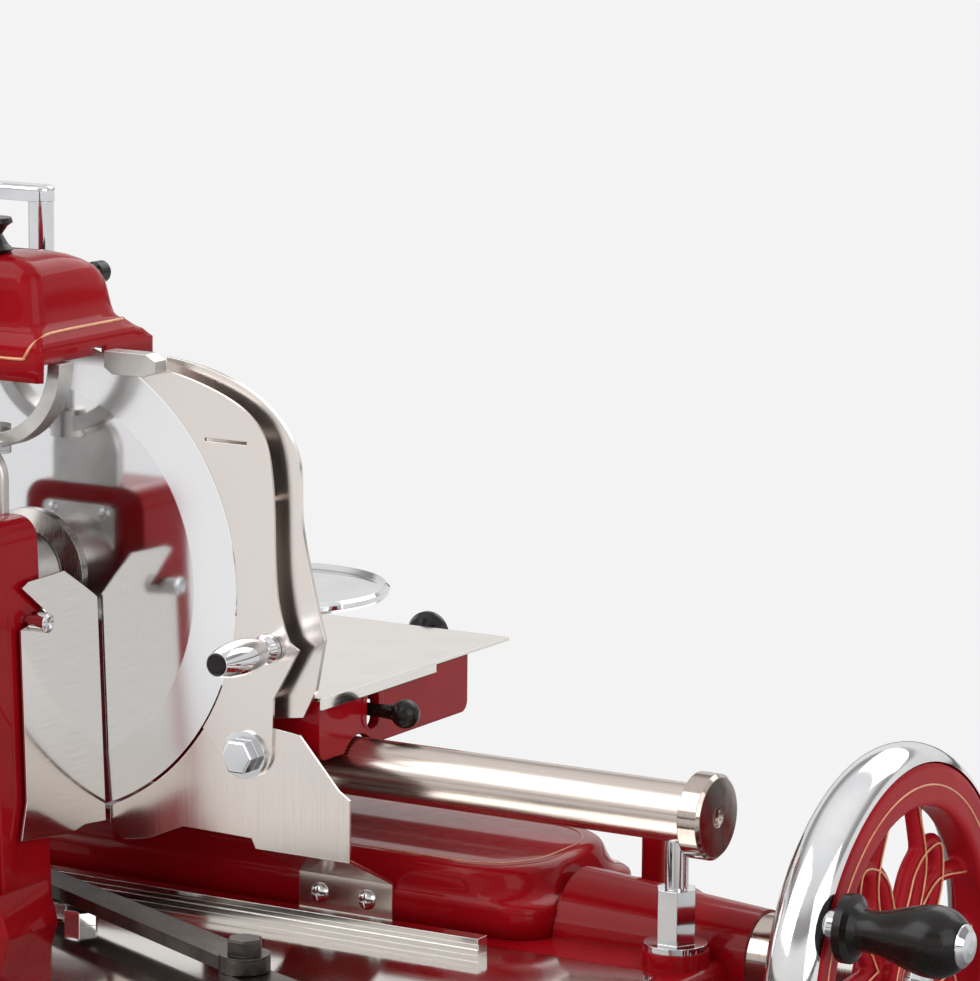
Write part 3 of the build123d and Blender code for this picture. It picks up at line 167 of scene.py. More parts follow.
def chrome_plate(name, light="#E4E4E6", dark="#D2D3D6", rough=(0.03, 0.08), edge=0.6):
    """Chrome plate over polished steel: a mirror with slow buffing waves and faint clouding."""
    made, tree, shader = surface(name, Metallic=1.0)
    dress(tree, shader, tint(tree, grain(tree, 30), dark, light), spread(tree, grain(tree, 12), *rough))
    bumps(tree, shader, [(grain(tree, 35, detail=0), 0.05)], edge)
    return made


def brushed_metal(name, dark, light, stretch, rough, line=0.45, edge=0.5):
    """Metal brushed along one axis: fine drawn-out lines with a soft sheen across them.
    Real brushing is under 0.1 mm wide; the lines here are wider so that they show."""
    made, tree, shader = surface(name, Metallic=1.0)
    lines = grain(tree, line, stretch, 3)
    dress(tree, shader, tint(tree, lines, dark, light), spread(tree, lines, *rough))
    bumps(tree, shader, [(lines, 0.0005), (grain(tree, 40, detail=0), 0.05)], edge)
    return made


def cast_metal(name, dark, light, rough, grit, depth):
    """Fettled casting or forging: an even skin of small pits under a slow drift of its grey."""
    made, tree, shader = surface(name, Metallic=1.0)
    pits = grain(tree, grit, detail=4)
    dress(tree, shader, tint(tree, grain(tree, 18, detail=3), dark, light), spread(tree, pits, *rough))
    bumps(tree, shader, [(pits, depth)], 0.8)
    return made


LAP_LINE = 0.5
BEVEL_START = 119.6
BEVEL_FULL = 120.2


def ground_blade():
    """Hardened blade steel: turned and lapped in circles, mirror bright inside, a ground bevel outside.
    Real lapping lines are finer than the ones drawn here, which are as fine as the render shows."""
    made, tree, shader = surface("lapped_blade_steel", Metallic=1.0)
    spot = add(tree, "ShaderNodeTexCoord")
    moved = add(tree, "ShaderNodeVectorMath", {1: at(0, 0, 0)}, {0: spot.outputs["Object"]},
                operation="SUBTRACT")
    flat = add(tree, "ShaderNodeVectorMath", {1: (1, 0, 1)}, {0: moved.outputs["Vector"]},
               operation="MULTIPLY")
    radius = add(tree, "ShaderNodeVectorMath", links={0: flat.outputs["Vector"]}, operation="LENGTH")
    line = add(tree, "ShaderNodeMath", {1: 1000 / LAP_LINE}, {0: radius.outputs["Value"]},
               operation="MULTIPLY")
    lines = add(tree, "ShaderNodeTexNoise", {"Scale": 1.0, "Detail": 2.0}, {"W": line.outputs["Value"]},
                noise_dimensions="1D").outputs["Fac"]
    bevel = remap(tree, radius.outputs["Value"], BEVEL_START * MM, BEVEL_FULL * MM, 0.0, 1.0)
    both = add(tree, "ShaderNodeMix", data_type="RGBA", links={
        0: bevel, 6: tint(tree, lines, "#DFDFE1", "#E8E8EA"), 7: tint(tree, lines, "#F0F0F2", "#F6F6F8")})
    rough = add(tree, "ShaderNodeMath", {1: 0.1, 2: 0.05}, {0: bevel}, operation="MULTIPLY_ADD")
    wear = add(tree, "ShaderNodeMath", {1: 0.07}, {0: lines, 2: rough.outputs["Value"]},
               operation="MULTIPLY_ADD")
    dress(tree, shader, both.outputs[2], wear.outputs["Value"])
    bumps(tree, shader, [(lines, 0.0015)])
    return made


def phenolic(name):
    """Moulded black phenolic: nearly black with brown flecks, satin with a soft wax gloss."""
    made, tree, shader = surface(name, IOR=1.5, Specular_IOR_Level=0.25, Coat_Weight=0.15,
                                 Coat_Roughness=0.12)
    dress(tree, shader, tint(tree, grain(tree, 2.2, detail=5), "#0A0807", "#181311"),
          spread(tree, grain(tree, 7), 0.24, 0.34))
    bumps(tree, shader, [(grain(tree, 1.1, detail=3), 0.006)], 0.5)
    return made


def foot_rubber():
    """Moulded rubber: matt, with a fine sand texture from its mould."""
    made, tree, shader = surface("moulded_rubber", IOR=1.52)
    sand = grain(tree, 0.9, detail=4)
    dress(tree, shader, tint(tree, sand, "#121212", "#222120"), spread(tree, sand, 0.62, 0.8))
    bumps(tree, shader, [(sand, 0.06)], 1.0)
    return made


def grindstone():
    """Vitrified grinding stone: pale grey abrasive grains of about half a millimetre in a dark bond."""
    made, tree, shader = surface("vitrified_stone", IOR=1.5)
    spot = add(tree, "ShaderNodeTexCoord")
    cells = add(tree, "ShaderNodeTexVoronoi", {"Scale": 1000 / 0.6}, {"Vector": spot.outputs["Object"]})
    grit = cells.outputs["Distance"]
    dress(tree, shader, tint(tree, grit, "#A9A297", "#5C564E", 0.1, 0.8),
          remap(tree, grit, 0, 1, 0.6, 0.9))
    bumps(tree, shader, [(grit, 0.1)])
    return made


def liner_gold():
    """Hand-drawn gold line: bronze paint with a little metal in it, slightly uneven along the stroke."""
    made, tree, shader = surface("gold_line_paint", Metallic=0.35, IOR=1.5, Coat_Weight=0.6,
                                 Coat_Roughness=0.08)
    stroke = grain(tree, 5, detail=3)
    dress(tree, shader, tint(tree, stroke, "#CB8255", "#E3A57C"), spread(tree, stroke, 0.3, 0.45))
    return made


# Sprayed and stoved enamel; the wheel's coat is darker and thinner, so its flat face shines less.
RED = stove_enamel("red_stove_enamel", "#8A0611", "#9A0B16", 2.0)
WHEEL_RED = stove_enamel("dark_red_wheel_enamel", "#8E101A", "#9C1620", 0.0, 0.4)
# Bright chrome on small fittings, and the wheel rim that hands have dulled a little.
CHROME = chrome_plate("chrome_plate")
RIM_CHROME = chrome_plate("chrome_plated_rim", "#EAEAEB", "#DCDDDF", (0.07, 0.13), 0.0)
# Nickel drawn along the tube, and its caps, faced on a lathe.
NICKEL = brushed_metal("satin_nickel_tube", "#D3C8BF", "#DACFC7", (220, 1, 1), (0.22, 0.28), 0.35)
CAP_STEEL = brushed_metal("polished_cap_steel", "#BBADA5", "#C4B7AF", (1, 14, 14), (0.08, 0.14), 0.5, 0.8)
# Stainless plate: satin on the guards, polished on the table and the tray.
GUARD_STEEL = brushed_metal("satin_stainless_guard", "#E6DED9", "#ECE5E0", (1, 1, 90), (0.18, 0.24), 0.4)
SHEET = brushed_metal("polished_stainless_sheet", "#E0DBD5", "#E8E4DF", (60, 60, 1), (0.07, 0.13), 0.5)
TRAY_STEEL = brushed_metal("polished_tray_steel", "#DBD7D2", "#E4E1DD", (90, 1, 1), (0.06, 0.12), 0.5)
# Blasted aluminium castings, blackened forgings of the drive, and plain turned steel inside it.
ALUMINIUM = cast_metal("satin_cast_aluminium", "#C2BFBC", "#D8D6D2", (0.28, 0.42), 1.4, 0.02)
FORGED = cast_metal("blackened_forged_steel", "#3A3735", "#57524F", (0.25, 0.42), 1.2, 0.03)
TURNED = brushed_metal("turned_machine_steel", "#8F8B87", "#A29E9A", (1, 20, 20), (0.18, 0.3), 0.5)
BLADE_STEEL = ground_blade()
BLACK = phenolic("black_phenolic")
RUBBER = foot_rubber()
STONE = grindstone()
GOLD = liner_gold()

FINISHES = {
    RED: ["base_casting", "shaft_cone", "bearing_webs", "gear_housing", "blade_column", "chain_cover",
          "rear_posts", "carriage_body", "carriage_saddle", "sharpener_cover"],
    WHEEL_RED: ["flywheel_spider"],
    CHROME: ["tube_posts", "clamp_columns", "clamp_crossbar", "clamp_arm", "press_plate", "clamp_spindle",
             "gauge_knob", "hub_cap", "handle_stub", "panel_screws", "hex_bolts", "deflector_screw"],
    RIM_CHROME: ["flywheel_rim"],
    NICKEL: ["guide_tube", "rear_rail"],
    CAP_STEEL: ["tube_caps", "shaft_bush"],
    GUARD_STEEL: ["ring_guard", "gauge_plate", "foot_plate"],
    SHEET: ["table_plate", "deflector_plate"],
    TRAY_STEEL: ["slice_tray", "tray_rail"],
    ALUMINIUM: ["crest_plate", "sharpener_yoke", "guard_block", "blade_bearing"],
    FORGED: ["connecting_rod", "crank_arm", "rod_bolt", "drive_chain"],
    TURNED: ["flywheel_shaft", "drive_gear", "layshaft", "cross_shaft", "rear_roller", "feed_screw",
             "blade_carrier"],
    BLADE_STEEL: ["blade"],
    BLACK: ["handle_grip", "cover_knob", "sharpener_button", "feed_knob", "release_lever"],
    RUBBER: ["base_feet"],
    STONE: ["front_stone", "back_stone"],
}
for finish, names in FINISHES.items():
    for name in names:
        for slot in nodes[name].material_slots:
            slot.material = finish


# ---------------------------------------------------------------- making pieces
def piece(name, mesh, finish, body, replaced=()):
    """A finished piece of the machine with its place in its mesh."""
    mesh.name = name
    mesh.materials.clear()
    mesh.materials.append(finish)
    mesh.polygons.foreach_set("use_smooth", [True] * len(mesh.polygons))
    mesh.update()
    made = bpy.data.objects.new(name, mesh)
    bpy.context.scene.collection.objects.link(made)
    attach(made, body)
    if replaced:
        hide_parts(*replaced)
    return made


def baked(holder):
    """The evaluated mesh of an object, which is then removed."""
    bpy.context.view_layer.update()
    depsgraph = bpy.context.evaluated_depsgraph_get()
    mesh = bpy.data.meshes.new_from_object(holder.evaluated_get(depsgraph), depsgraph=depsgraph)
    bpy.data.objects.remove(holder)
    return mesh


def holder_of(mesh):
    """A plain object for a mesh or a curve, to carry modifiers."""
    made = bpy.data.objects.new("holder", mesh)
    bpy.context.scene.collection.objects.link(made)
    return made


def mesh_of(verts, faces):
    """Mesh from points and faces, its doubles merged and its faces turned outwards."""
    mesh = bpy.data.meshes.new("mesh")
    mesh.from_pydata([tuple(v) for v in verts], [], faces)
    work = bmesh.new()
    work.from_mesh(mesh)
    bmesh.ops.remove_doubles(work, verts=work.verts, dist=0.00001)
    bmesh.ops.recalc_face_normals(work, faces=work.faces)
    work.to_mesh(mesh)
    work.free()
    return mesh


def rounded(corners, arc=14, side=12):
    """Points round four corners, each (x, y, radius) of its arc, and along the sides between them. Their
    number is the same for every size."""
    points = []
    for k, (x, y, r) in enumerate(corners):
        for i in range(arc):
            a = pi / 2 * (k + i / (arc - 1))
            points.append((x + r * cos(a), y + r * sin(a)))
        next_x, next_y, next_r = corners[(k + 1) % 4]
        a = pi / 2 * (k + 1)
        start = Vector(points[-1])
        end = Vector((next_x + next_r * cos(a), next_y + next_r * sin(a)))
        points += [tuple(start.lerp(end, i / side)) for i in range(1, side)]
    return points


def round_rect(half_x, half_y, radius, x, y):
    """Points round a rectangle with round corners."""
    dx, dy = half_x - radius, half_y - radius
    return rounded([(x + dx, y + dy, radius), (x - dx, y + dy, radius), (x - dx, y - dy, radius),
                    (x + dx, y - dy, radius)])


def circle(radius, count):
    """Points (u, v) round a circle."""
    turns = [2 * pi * i / count for i in range(count)]
    return [(radius * cos(a), radius * sin(a)) for a in turns]


def skin(rings, closed=True):
    """Points and faces between rings that all have the same count, with the last one closed or open."""
    count = len(rings[0])
    last = count * (len(rings) - 1)
    faces = []
    for low in range(0, last, count):
        for i in range(count):
            j = (i + 1) % count
            faces.append((low + i, low + j, low + count + j, low + count + i))
    if closed:
        faces.append(tuple(last + i for i in range(count)))
    return [v for ring in rings for v in ring], faces


def turned(profile, place, axis, steps=72):
    """Closed solid of a profile of (distance along, radius) turned about an axis through place."""
    side = axis.orthogonal().normalized()
    other = axis.cross(side)
    rings = []
    for distance, radius in profile:
        middle = place + axis * distance * MM
        rings.append([middle + (side * u + other * v) * MM for u, v in circle(radius, steps)])
    verts, faces = skin(rings)
    faces.append(tuple(range(steps))[::-1])
    return mesh_of(verts, faces)


def walled(rings, thickness):
    """Shell with its outer side on rings of points, open at the first ring."""
    shell = holder_of(mesh_of(*skin(rings)))
    wall = shell.modifiers.new("wall", "SOLIDIFY")
    wall.thickness = thickness * MM
    wall.offset = -1
    return shell


def eased(points, steps=8):
    """Points on a smooth run through the given ones."""
    ends = [2 * points[0] - points[1]] + points + [2 * points[-1] - points[-2]]
    run = []
    for a, b, c, d in zip(ends, ends[1:], ends[2:], ends[3:]):
        for i in range(steps):
            t = i / steps
            run.append(0.5 * (2 * b + t * (c - a) + t * t * (2 * a - 5 * b + 4 * c - d)
                              + t ** 3 * (3 * b - a - 3 * c + d)))
    return run + [points[-1]]


def ribbon(points, width, closed=False):
    """Thin raised line of paint along points."""
    curve = bpy.data.curves.new("line", "CURVE")
    curve.dimensions = "3D"
    curve.bevel_depth = width / 2 * MM
    curve.bevel_resolution = 2
    spline = curve.splines.new("POLY")
    spline.points.add(len(points) - 1)
    for spot, target in zip(spline.points, points):
        spot.co = (*target, 1)
    spline.use_cyclic_u = closed
    curve.use_fill_caps = not closed
    return baked(holder_of(curve))


def joined(meshes):
    """Several meshes as one."""
    work = bmesh.new()
    for mesh in meshes:
        work.from_mesh(mesh)
    made = bpy.data.meshes.new("joined")
    work.to_mesh(made)
    work.free()
    return made


# ---------------------------------------------------------------- sharpener cover
COVER_WALL = 2.6
SKIRT_FRONT = -56.0
APRON_LIP = 128.0
SIDE_LIP = 139.0
DOME_HALF_X = 42.5
DOME_FRONT = -54.0
DOME_BACK = 47.0
DOME_PEAK_Y = -34.0
DOME_RISE = 42.3

# Half width, half depth, corner radius and height of the skirt's rings; the first one is its lip.
SKIRT_RINGS = ((50, 60.5, 4, None), (50, 60.5, 4, 144), (50, 60.5, 4, 148.6), (49.6, 60.1, 4, 150.4),
               (48.7, 59.2, 4, 152), (46.6, 57, 5, 156), (45, 55.2, 6, 158.6))
# Share of the dome's full plan and of its height at each ring, from its flared foot to the crown.
DOME_RINGS = ((1.02, 0.0), (0.995, 0.05), (0.97, 0.17), (0.95, 0.34), (0.93, 0.5), (0.905, 0.63),
              (0.87, 0.735), (0.81, 0.82), (0.72, 0.885), (0.58, 0.94), (0.43, 0.97), (0.27, 0.99),
              (0.1, 1.0))


def dome_height(y):
    """Height of the cover's crown above its skirt: it falls slowly to the back, steeply to the front."""
    return DOME_RISE - 0.0042 * max(0.0, y + 14.0) ** 2 - 0.08 * max(0.0, -44.0 - y) ** 2


def skirt_top(y, z):
    """Height of the skirt at a depth: it slopes down behind the dome and before it."""
    return min(z, SKIRT_TOP - 0.58 * max(0.0, y - 30.0) - 0.9 * max(0.0, -52.0 - y))


def dome_plan(share):
    """Plan of the dome at one height, its rear corners much rounder than its front ones. It closes
    towards the knob, which stands near the front."""
    half_x = DOME_HALF_X * share
    front = DOME_FRONT * share + DOME_PEAK_Y * (1 - share)
    back = DOME_BACK * share + DOME_PEAK_Y * (1 - share)
    rear_r, front_r = 27 * share, 13 * share
    return rounded([(half_x - rear_r, back - rear_r, rear_r), (rear_r - half_x, back - rear_r, rear_r),
                    (front_r - half_x, front + front_r, front_r),
                    (half_x - front_r, front + front_r, front_r)])


def cover_rings():
    """Rings of the cover from its lip, over the skirt and the flared dome, to the crown."""
    rings = []
    for half_x, half_y, radius, z in SKIRT_RINGS:
        ring = []
        for x, y in round_rect(half_x, half_y, radius, 0, 0.5):
            lip = APRON_LIP if y < SKIRT_FRONT else SIDE_LIP - 0.1 * max(0.0, y)
            ring.append(at(x, y, lip if z is None else skirt_top(y, z)))
        rings.append(ring)
    for share, height in DOME_RINGS:
        ring = []
        for x, y in dome_plan(share):
            base = skirt_top(y, SKIRT_TOP)
            ring.append(at(x, y, base + height * (SKIRT_TOP + dome_height(y) - base)))
        rings.append(ring)
    return rings


def sharpener_cover():
    """Cast cover with a notch in both sides of its lip, over the guard."""
    shell = walled(cover_rings(), COVER_WALL)
    ring = ((-60, -4), (60, -4), (60, 7), (-60, 7))
    faces = [(0, 3, 2, 1), (4, 5, 6, 7), (0, 1, 5, 4), (1, 2, 6, 5), (2, 3, 7, 6), (3, 0, 4, 7)]
    cutter = holder_of(mesh_of([at(x, y, z) for z in (120, 143.5) for x, y in ring], faces))
    notch = shell.modifiers.new("notch", "BOOLEAN")
    notch.object = cutter
    notch.solver = "EXACT"
    mesh = baked(shell)
    bpy.data.objects.remove(cutter)
    return piece("sharpener_cover_shell", mesh, RED, "cover", ["sharpener_cover"])


def cover_line():
    """Gold line along the foot of the dome, which drops over the front edge to the face of the skirt."""
    half = [(46.2, 31, 157), (46.2, 5, 157), (46.2, -20, 157), (46.4, -44, 156.6), (46.2, -52, 155.4),
            (44.5, -57.4, 152.6), (41.5, -60, 148), (38.5, -60.2, 143.4), (34, -60.2, 142),
            (0, -60.2, 142)]
    spots = eased([at(*spot) for spot in half] + [at(-x, y, z) for x, y, z in half[-2::-1]])
    return piece("cover_gold_line", ribbon(spots, 2.0), GOLD, "cover")


sharpener_cover()
cover_line()


# ---------------------------------------------------------------- gear case
CASE_WALL = 4.5

# Inset from the ends and from the sides, corner radius and height of the rings of the gear case.
CASE_RINGS = ((0, 0, 26, -201.6), (0, 0, 26, -190), (0, 0, 26, -185), (0.6, 0.3, 27, -182.6),
              (2, 1, 30, -181), (3.6, 1.6, 35, -180), (5, 2, 40, -178), (6.4, 2.4, 44, -174),
              (8, 2.8, 46, -169.5), (9.6, 3.4, 46, -165.6), (11.4, 4.6, 46, -163), (14, 7, 45, -161.5),
              (17.5, 10.5, 43, -161.05), (30, 22, 36, CASE_TOP), (45, 36, 26, CASE_TOP),
              (64, 52, 12, CASE_TOP))


def case_plan(end, side, radius):
    """Plan of the gear case, inset from its ends and its sides."""
    return round_rect(CASE_HALF_X - end, CASE_HALF_Y - side, radius, CASE_X, CASE_Y)


def gear_case():
    """Cast gear case: a low shoulder and a raised crown with round corners, soft at every edge."""
    rings = [[at(x, y, z) for x, y in case_plan(end, side, radius)]
             for end, side, radius, z in CASE_RINGS]
    shell = walled(rings, CASE_WALL)
    return piece("gear_case_shell", baked(shell), RED, "frame", ["gear_housing"])


def case_line():
    """Gold line round the crown of the gear case."""
    loop = [at(x, y, CASE_TOP + 0.1) for x, y in case_plan(21, 14, 40)]
    return piece("case_gold_line", ribbon(loop, 0.8, True), GOLD, "frame")


gear_case()
case_line()


# ---------------------------------------------------------------- flywheel
def tree_inputs(name, sizes):
    """A geometry tree with named inputs for its sizes."""
    tree = bpy.data.node_groups.new(name, "GeometryNodeTree")
    tree.interface.new_socket("Geometry", in_out="INPUT", socket_type="NodeSocketGeometry")
    for label, value in sizes.items():
        kind = "NodeSocketInt" if isinstance(value, int) else "NodeSocketFloat"
        tree.interface.new_socket(label, in_out="INPUT", socket_type=kind)
    tree.interface.new_socket("Geometry", in_out="OUTPUT", socket_type="NodeSocketGeometry")
    return tree, add(tree, "NodeGroupInput").outputs


def grown(tree, sizes, base):
    """Runs a geometry tree on a base mesh with these sizes and returns the plain mesh."""
    holder = holder_of(base)
    live = holder.modifiers.new("tree", "NODES")
    live.node_group = tree
    for item in tree.interface.items_tree:
        if item.in_out == "INPUT" and item.name in sizes:
            live[item.identifier] = sizes[item.name]
    return baked(holder)


PETALS = 5
PETAL_START = 51.5
HUB_LINE_R = 22.5
RING_LINE_R = 115.5
RING_PROFILE = ((-21.6, 104), (-20, 102.4), (-2, 102.4), (-0.5, 103.2), (0, 105), (0, 127), (-0.8, 128.6),
                (-21.6, 128.8))
HUB_PROFILE = ((-30, 22), (-29, 23.5), (-4, 26.6), (-1, 26), (0, 24))


def dressed_output(tree, points, thing, finish, **links):
    """Ends a geometry tree with copies of a thing on points, as plain geometry in its finish."""
    copies = add(tree, "GeometryNodeInstanceOnPoints",
                 links={"Points": points, "Instance": thing, **links})
    real = add(tree, "GeometryNodeRealizeInstances", links={"Geometry": copies.outputs[0]})
    dressed = add(tree, "GeometryNodeSetMaterial", {"Material": finish}, {"Geometry": real.outputs[0]})
    add(tree, "NodeGroupOutput", links={"Geometry": dressed.outputs[0]})


def petal_tree(finish):
    """Sweeps an oval bar along the edges of one petal, and sets copies of it round the hub."""
    sizes = {"Petals": PETALS, "Start": radians(PETAL_START), "Width": 5.2 * MM, "Depth": 6.0 * MM,
             "Rise": -15.2 * MM}
    tree, given = tree_inputs("petal_arms", sizes)
    lifted = add(tree, "ShaderNodeCombineXYZ", links={"Z": given["Rise"]})
    moved = add(tree, "GeometryNodeTransform", links={"Geometry": given["Geometry"],
                                                      "Translation": lifted.outputs[0]})
    runs = add(tree, "GeometryNodeMeshToCurve", links={"Mesh": moved.outputs[0]})
    ring = add(tree, "GeometryNodeCurvePrimitiveCircle", {"Resolution": 18, "Radius": 1.0})
    scale = add(tree, "ShaderNodeCombineXYZ", {"Z": 1.0}, {"X": given["Depth"], "Y": given["Width"]})
    section = add(tree, "GeometryNodeTransform",
                  links={"Geometry": ring.outputs["Curve"], "Scale": scale.outputs[0]})
    swept = add(tree, "GeometryNodeCurveToMesh", {"Fill Caps": True},
                {"Curve": runs.outputs[0], "Profile Curve": section.outputs[0]})
    spots = add(tree, "GeometryNodePoints", links={"Count": given["Petals"]})
    index = add(tree, "GeometryNodeInputIndex")
    full = add(tree, "ShaderNodeMath", {0: 2 * pi}, {1: given["Petals"]}, operation="DIVIDE")
    turn = add(tree, "ShaderNodeMath", operation="MULTIPLY_ADD",
               links={0: index.outputs[0], 1: full.outputs[0], 2: given["Start"]})
    spin = add(tree, "ShaderNodeCombineXYZ", links={"Z": turn.outputs[0]})
    dressed_output(tree, spots.outputs[0], swept.outputs[0], finish, Rotation=spin.outputs[0])
    return tree, sizes


def petal_edges(hub, ring):
    """One petal in the plane of X and Y: two arms that part towards the ring, and an arch across them.
    Its points are radii and turns from the petal's middle line, in degrees."""
    def spot(radius, turn):
        return Vector((radius * cos(radians(turn)), radius * sin(radians(turn)), 0)) * MM
    arms = [eased([spot(hub, 0), spot(48, 2 * side), spot(73, 10 * side), spot(ring, 25.5 * side)])
            for side in (-1, 1)]
    half = [(hub, 36), (44, 24), (62, 19.5), (77, 11)]
    arch = [(r, -turn) for r, turn in half] + [(88.5, 0)] + half[::-1]
    mesh = bpy.data.meshes.new("petal")
    verts, edges = [], []
    for run in arms + [eased([spot(*place) for place in arch])]:
        edges += [(len(verts) + i, len(verts) + i + 1) for i in range(len(run) - 1)]
        verts += run
    mesh.from_pydata(verts, edges, [])
    return mesh


def wheel_place():
    """Turns the plane of X and Y, with its face up, into the wheel's face, looking along +X."""
    turn = Matrix(((0, 0, 1), (1, 0, 0), (0, 1, 0))).to_4x4()
    return Matrix.Translation(at(WHEEL_FACE, SHAFT_Y, SHAFT_Z)) @ turn


def ring_face():
    """Red ring and hub of the wheel as turned solids about X."""
    face = at(WHEEL_FACE, SHAFT_Y, SHAFT_Z)
    rings = [[face + Vector((distance, u, v)) * MM for u, v in circle(radius, 128)]
             for distance, radius in RING_PROFILE + RING_PROFILE[:1]]
    return [mesh_of(*skin(rings, False)), turned(HUB_PROFILE, face, PLUS_X)]


def flywheel():
    """Cast wheel: petals, ring and hub melted together like one casting, with gold lines on its face."""
    tree, sizes = petal_tree(WHEEL_RED)
    arms = grown(tree, sizes, petal_edges(21, 106))
    arms.transform(wheel_place())
    whole = holder_of(joined([arms] + ring_face()))
    blend = whole.modifiers.new("blend", "REMESH")
    blend.mode = "VOXEL"
    blend.voxel_size = 1.5 * MM
    soft = whole.modifiers.new("soft", "SMOOTH")
    soft.factor = 0.6
    soft.iterations = 8
    piece("flywheel_spokes", baked(whole), WHEEL_RED, "flywheel", ["flywheel_spider"])
    thin = {**sizes, "Width": 0.7 * MM, "Depth": 0.7 * MM, "Rise": -9.5 * MM}
    lines = grown(tree, thin, petal_edges(29, 102))
    lines.transform(wheel_place())
    loops = [ribbon([at(WHEEL_FACE, SHAFT_Y + u, SHAFT_Z + v) for u, v in circle(radius, 120)], 1.3, True)
             for radius in (RING_LINE_R, HUB_LINE_R)]
    piece("wheel_gold_lines", joined([lines] + loops), GOLD, "flywheel")


flywheel()


# ---------------------------------------------------------------- gauge knob tip
def knob_tip():
    """Black insert in the end of the gauge knob."""
    low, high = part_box("gauge_knob")
    end = Vector(((low[0] + high[0]) / 2, low[1], (low[2] + high[2]) / 2))
    mesh = turned(((1, 6.9), (-0.2, 6.9), (-0.5, 6.5), (-0.7, 5.2), (-0.8, 2.5)), end, PLUS_Y)
    return piece("gauge_knob_tip", mesh, BLACK, "gauge_knob")


knob_tip()


# ---------------------------------------------------------------- screws
SMALL_HEAD_R = 4.2
LARGE_HEAD_R = 6.3
SMALL_HEADS = [(x, -50, z) for x in (-20, 20) for z in (-31, 31)]
LARGE_HEADS = [(x, 49, -190) for x in (179, 213)]


def screw_tree(finish):
    """Domed cross-slot heads on the points of the base mesh, all facing -Y."""
    sizes = {"Radius": SMALL_HEAD_R * MM, "Rise": 0.6, "Slot Width": 0.9 * MM}
    tree, given = tree_inputs("domed_screws", sizes)
    ball = add(tree, "GeometryNodeMeshUVSphere", {"Segments": 32, "Rings": 20},
               {"Radius": given["Radius"]})
    flat = add(tree, "ShaderNodeCombineXYZ", {"X": 1.0, "Z": 1.0}, {"Y": given["Rise"]})
    dome = add(tree, "GeometryNodeTransform",
               links={"Geometry": ball.outputs["Mesh"], "Scale": flat.outputs[0]})
    reach = add(tree, "ShaderNodeMath", {1: 1.25}, {0: given["Radius"]}, operation="MULTIPLY")
    front = add(tree, "ShaderNodeMath", {1: -0.75}, {0: given["Radius"]}, operation="MULTIPLY")
    move = add(tree, "ShaderNodeCombineXYZ", links={"Y": front.outputs[0]})
    head = add(tree, "GeometryNodeMeshBoolean", links={"Mesh 1": dome.outputs[0]}, operation="DIFFERENCE",
               solver="EXACT")
    for first, second in (("X", "Z"), ("Z", "X")):
        size = add(tree, "ShaderNodeCombineXYZ", links={
            first: reach.outputs[0], second: given["Slot Width"], "Y": given["Radius"]})
        bar = add(tree, "GeometryNodeMeshCube", links={"Size": size.outputs[0]})
        slot = add(tree, "GeometryNodeTransform",
                   links={"Geometry": bar.outputs["Mesh"], "Translation": move.outputs[0]})
        tree.links.new(slot.outputs[0], head.inputs["Mesh 2"])
    dressed_output(tree, given["Geometry"], head.outputs["Mesh"], finish)
    return tree, sizes


def screws():
    """Screws of the crest plate and of the rail's bracket."""
    tree, sizes = screw_tree(CHROME)
    meshes = []
    for radius, places in ((SMALL_HEAD_R, SMALL_HEADS), (LARGE_HEAD_R, LARGE_HEADS)):
        spots = bpy.data.meshes.new("screw_places")
        spots.from_pydata([at(*place) for place in places], [], [])
        meshes.append(grown(tree, {**sizes, "Radius": radius * MM}, spots))
    return piece("round_head_screws", joined(meshes), CHROME, "frame", ["panel_screws"])


screws()


# ---------------------------------------------------------------- floor, light and camera
FLOOR_RADIUS = 14.0
FLOOR_SIDES = 96


def pale_floor():
    """Wide matt floor, brightened for the camera and for reflections only, so that it keeps the shadow.
    For reflections its glow is dimmed near the machine, a painted shade that darkens polished metal low
    down, as polished metal does in the photograph."""
    mesh = mesh_of([Vector((x, y, 0)) for x, y in circle(FLOOR_RADIUS, FLOOR_SIDES)],
                   [tuple(range(FLOOR_SIDES))])
    if mesh.polygons[0].normal.z < 0:
        mesh.flip_normals()
    floor = holder_of(mesh)
    floor.name = "pale_floor"
    made, tree, shader = surface("pale_studio_floor", Roughness=0.9)
    tree.links.new(tint(tree, grain(tree, 400), "#EFEFEF", "#F2F2F2"), shader.inputs["Base Color"])
    out = next(n for n in tree.nodes if n.type == "OUTPUT_MATERIAL")
    path = add(tree, "ShaderNodeLightPath")
    spot = add(tree, "ShaderNodeTexCoord")
    away = add(tree, "ShaderNodeVectorMath", links={0: spot.outputs["Object"]}, operation="LENGTH")
    near = remap(tree, away.outputs["Value"], 0.45, 1.4, 0.68, 1.0)
    seen = add(tree, "ShaderNodeMath", links={0: path.outputs["Is Camera Ray"], 1: near},
               operation="MULTIPLY")
    share = add(tree, "ShaderNodeMath", links={0: seen.outputs[0], 1: path.outputs["Is Glossy Ray"]},
                operation="MAXIMUM")
    # Painted shade: reflections see the floor's glow fall to a fifth of its strength near the machine.
    painted_reflection_shade = remap(tree, away.outputs["Value"], 0.5, 1.3, -0.8, 0.0)
    power = add(tree, "ShaderNodeMath", {2: 1.0}, {0: path.outputs["Is Glossy Ray"], 1: painted_reflection_shade},
                operation="MULTIPLY_ADD")
    glow = add(tree, "ShaderNodeEmission", {"Color": hue("#F3F3F3")}, {"Strength": power.outputs[0]})
    mix = add(tree, "ShaderNodeMixShader", links={"Fac": share.outputs[0]})
    tree.links.new(shader.outputs["BSDF"], mix.inputs[1])
    tree.links.new(glow.outputs[0], mix.inputs[2])
    tree.links.new(mix.outputs[0], out.inputs["Surface"])
    floor.data.materials.append(made)


